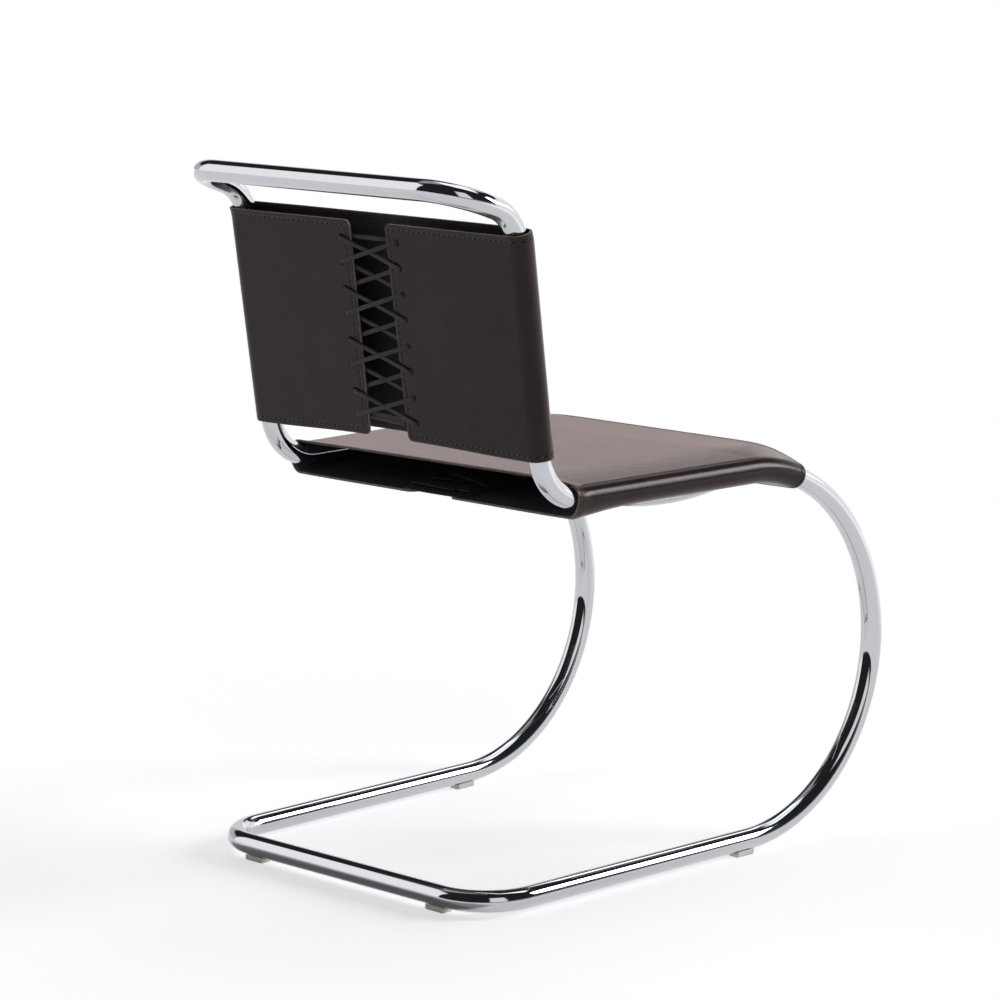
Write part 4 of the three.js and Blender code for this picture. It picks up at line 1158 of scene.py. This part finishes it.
def thong(name, points, sideways):
    """A soft rectangle along the path: w |cos v|^k across and h |sin v|^k through."""
    keep = np.concatenate([[True], np.linalg.norm(np.diff(points, axis=0), axis=1) > SHORTEST_LACE_STEP])
    points, sideways = points[keep], sideways[keep]
    # Neighbouring sections agree about which side is which
    flips = np.sign((sideways[1:] * sideways[:-1]).sum(axis=1))
    flips = np.cumprod(np.concatenate([[1.0], np.where(flips == 0, 1.0, flips)]))
    sideways = unit(softened(sideways * flips[:, None], passes=3))
    points = softened(points, passes=1)
    tangents = unit(np.gradient(points, axis=0))
    sideways = unit(sideways - (sideways * tangents).sum(axis=1, keepdims=True) * tangents)
    through = np.cross(tangents, sideways)
    v = np.linspace(0, 2 * math.pi, LACE_SIDES, endpoint=False)
    across = np.sign(np.cos(v)) * np.abs(np.cos(v)) ** LACE_SQUARENESS * LACE_WIDTH / 2
    deep = np.sign(np.sin(v)) * np.abs(np.sin(v)) ** LACE_SQUARENESS * LACE_THICKNESS / 2
    skin = (points[:, None] + across[None, :, None] * sideways[:, None]
            + deep[None, :, None] * through[:, None])
    rows = len(points)
    faces, caps = outward(skin, grid_faces(rows, LACE_SIDES, closed=True), rod_caps(rows, LACE_SIDES))
    piece = make_piece(name, skin, faces, THONG, caps)
    piece.data.set_sharp_from_angle(angle=LACE_SHARP_ANGLE)
    print(name, len(points), "sections")
    return piece


def on_back_flaps(x, t, level):
    return back_point(x + flap_shift(x, t), level, t)


def on_seat_flaps(x, t, level):
    angle, half_width, y, z = seat_rail(np.asarray(t, float))
    out = level + FLAP_SAG * (1 - np.abs(x) / half_width)
    y, z = y + out * np.sin(angle), z - out * np.cos(angle) - flap_slack(t, np.abs(x) / half_width)
    return np.stack(np.broadcast_arrays(x, y, z), axis=-1)


back_thong = thong("back_thong", *laced(on_back_flaps, BACK_ROWS, LACE_INSIDE))
seat_thong = thong("seat_thong", *laced(on_seat_flaps, SEAT_ROWS[::-1], SEAT_LACE_INSIDE))
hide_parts("back_lace")
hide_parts("seat_lace")

# %% [markdown]
# Hardly any daylight shows between the seat's flaps, so a strip of leather lies under their lacing, as a
# tongue does in a shoe. The inner strands hold it against the flaps.

# %% Strip under the seat's lacing
STRIP_REAR_INSET, STRIP_FRONT_INSET = 0.5 * MM, 3 * MM
STRIP_COLUMNS, STRIP_ROWS = 21, 70
strip_x, strip_t = np.meshgrid(
    np.linspace(-STRIP_HALF, STRIP_HALF, STRIP_COLUMNS),
    np.linspace(STRIP_REAR_INSET, SEAT_LENGTH - STRIP_FRONT_INSET, STRIP_ROWS))
strip_rim = np.minimum(STRIP_HALF - np.abs(strip_x), np.minimum(strip_t, SEAT_LENGTH - strip_t))
# The strip takes the paler lining too: painted light under the seat's lacing
strip = sheet_piece("seat_lacing_strip", on_seat_flaps(strip_x, strip_t, STRIP_OUTER),
                    on_seat_flaps(strip_x, strip_t, STRIP_INNER), strip_rim,
                    LINING_WITH_PAINTED_LIGHT, edge=LINING_WITH_PAINTED_LIGHT)

# %% [markdown]
# ## Glide pads and hidden steel
#
# A pad is a moulded block, so its edges are soft. The CAD pad has the right shape and its screw hole,
# so a copy is merged and its edges are bevelled. The screws and sleeves stay as they are, in zinc.

# %% Pads
PAD_NODES = ("rear_left_pad", "rear_right_pad", "runner_left_pad", "runner_right_pad")
PAD_WELD, PAD_BEVEL, PAD_BEVEL_ANGLE = 0.02 * MM, 0.6 * MM, math.radians(35)
for node_name in PAD_NODES:
    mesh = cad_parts[node_name].data.copy()
    mesh.name = node_name + "_block"
    mesh.materials.clear()
    mesh.materials.append(GLIDE)
    block = bpy.data.objects.new(node_name + "_block", mesh)
    bpy.context.scene.collection.objects.link(block)
    weld = block.modifiers.new("weld", "WELD")
    weld.merge_threshold = PAD_WELD
    bevel = block.modifiers.new("soft edges", "BEVEL")
    bevel.width, bevel.segments, bevel.limit_method = PAD_BEVEL, 3, "ANGLE"
    bevel.angle_limit = PAD_BEVEL_ANGLE
    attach(block, "root")
    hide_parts(node_name)

# %% Hidden steel
for node_name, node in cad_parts.items():
    if "screw" in node_name or "sleeve" in node_name:
        node.data.materials.clear()
        node.data.materials.append(ZINC)

# %% [markdown]
# ## What is cloth here
#
# Leather stretched on a frame is a sheet, and the sizes of its flat cuts are printed where its maps are made.

# %% Colour management
bpy.context.scene.view_settings.view_transform = "Standard"
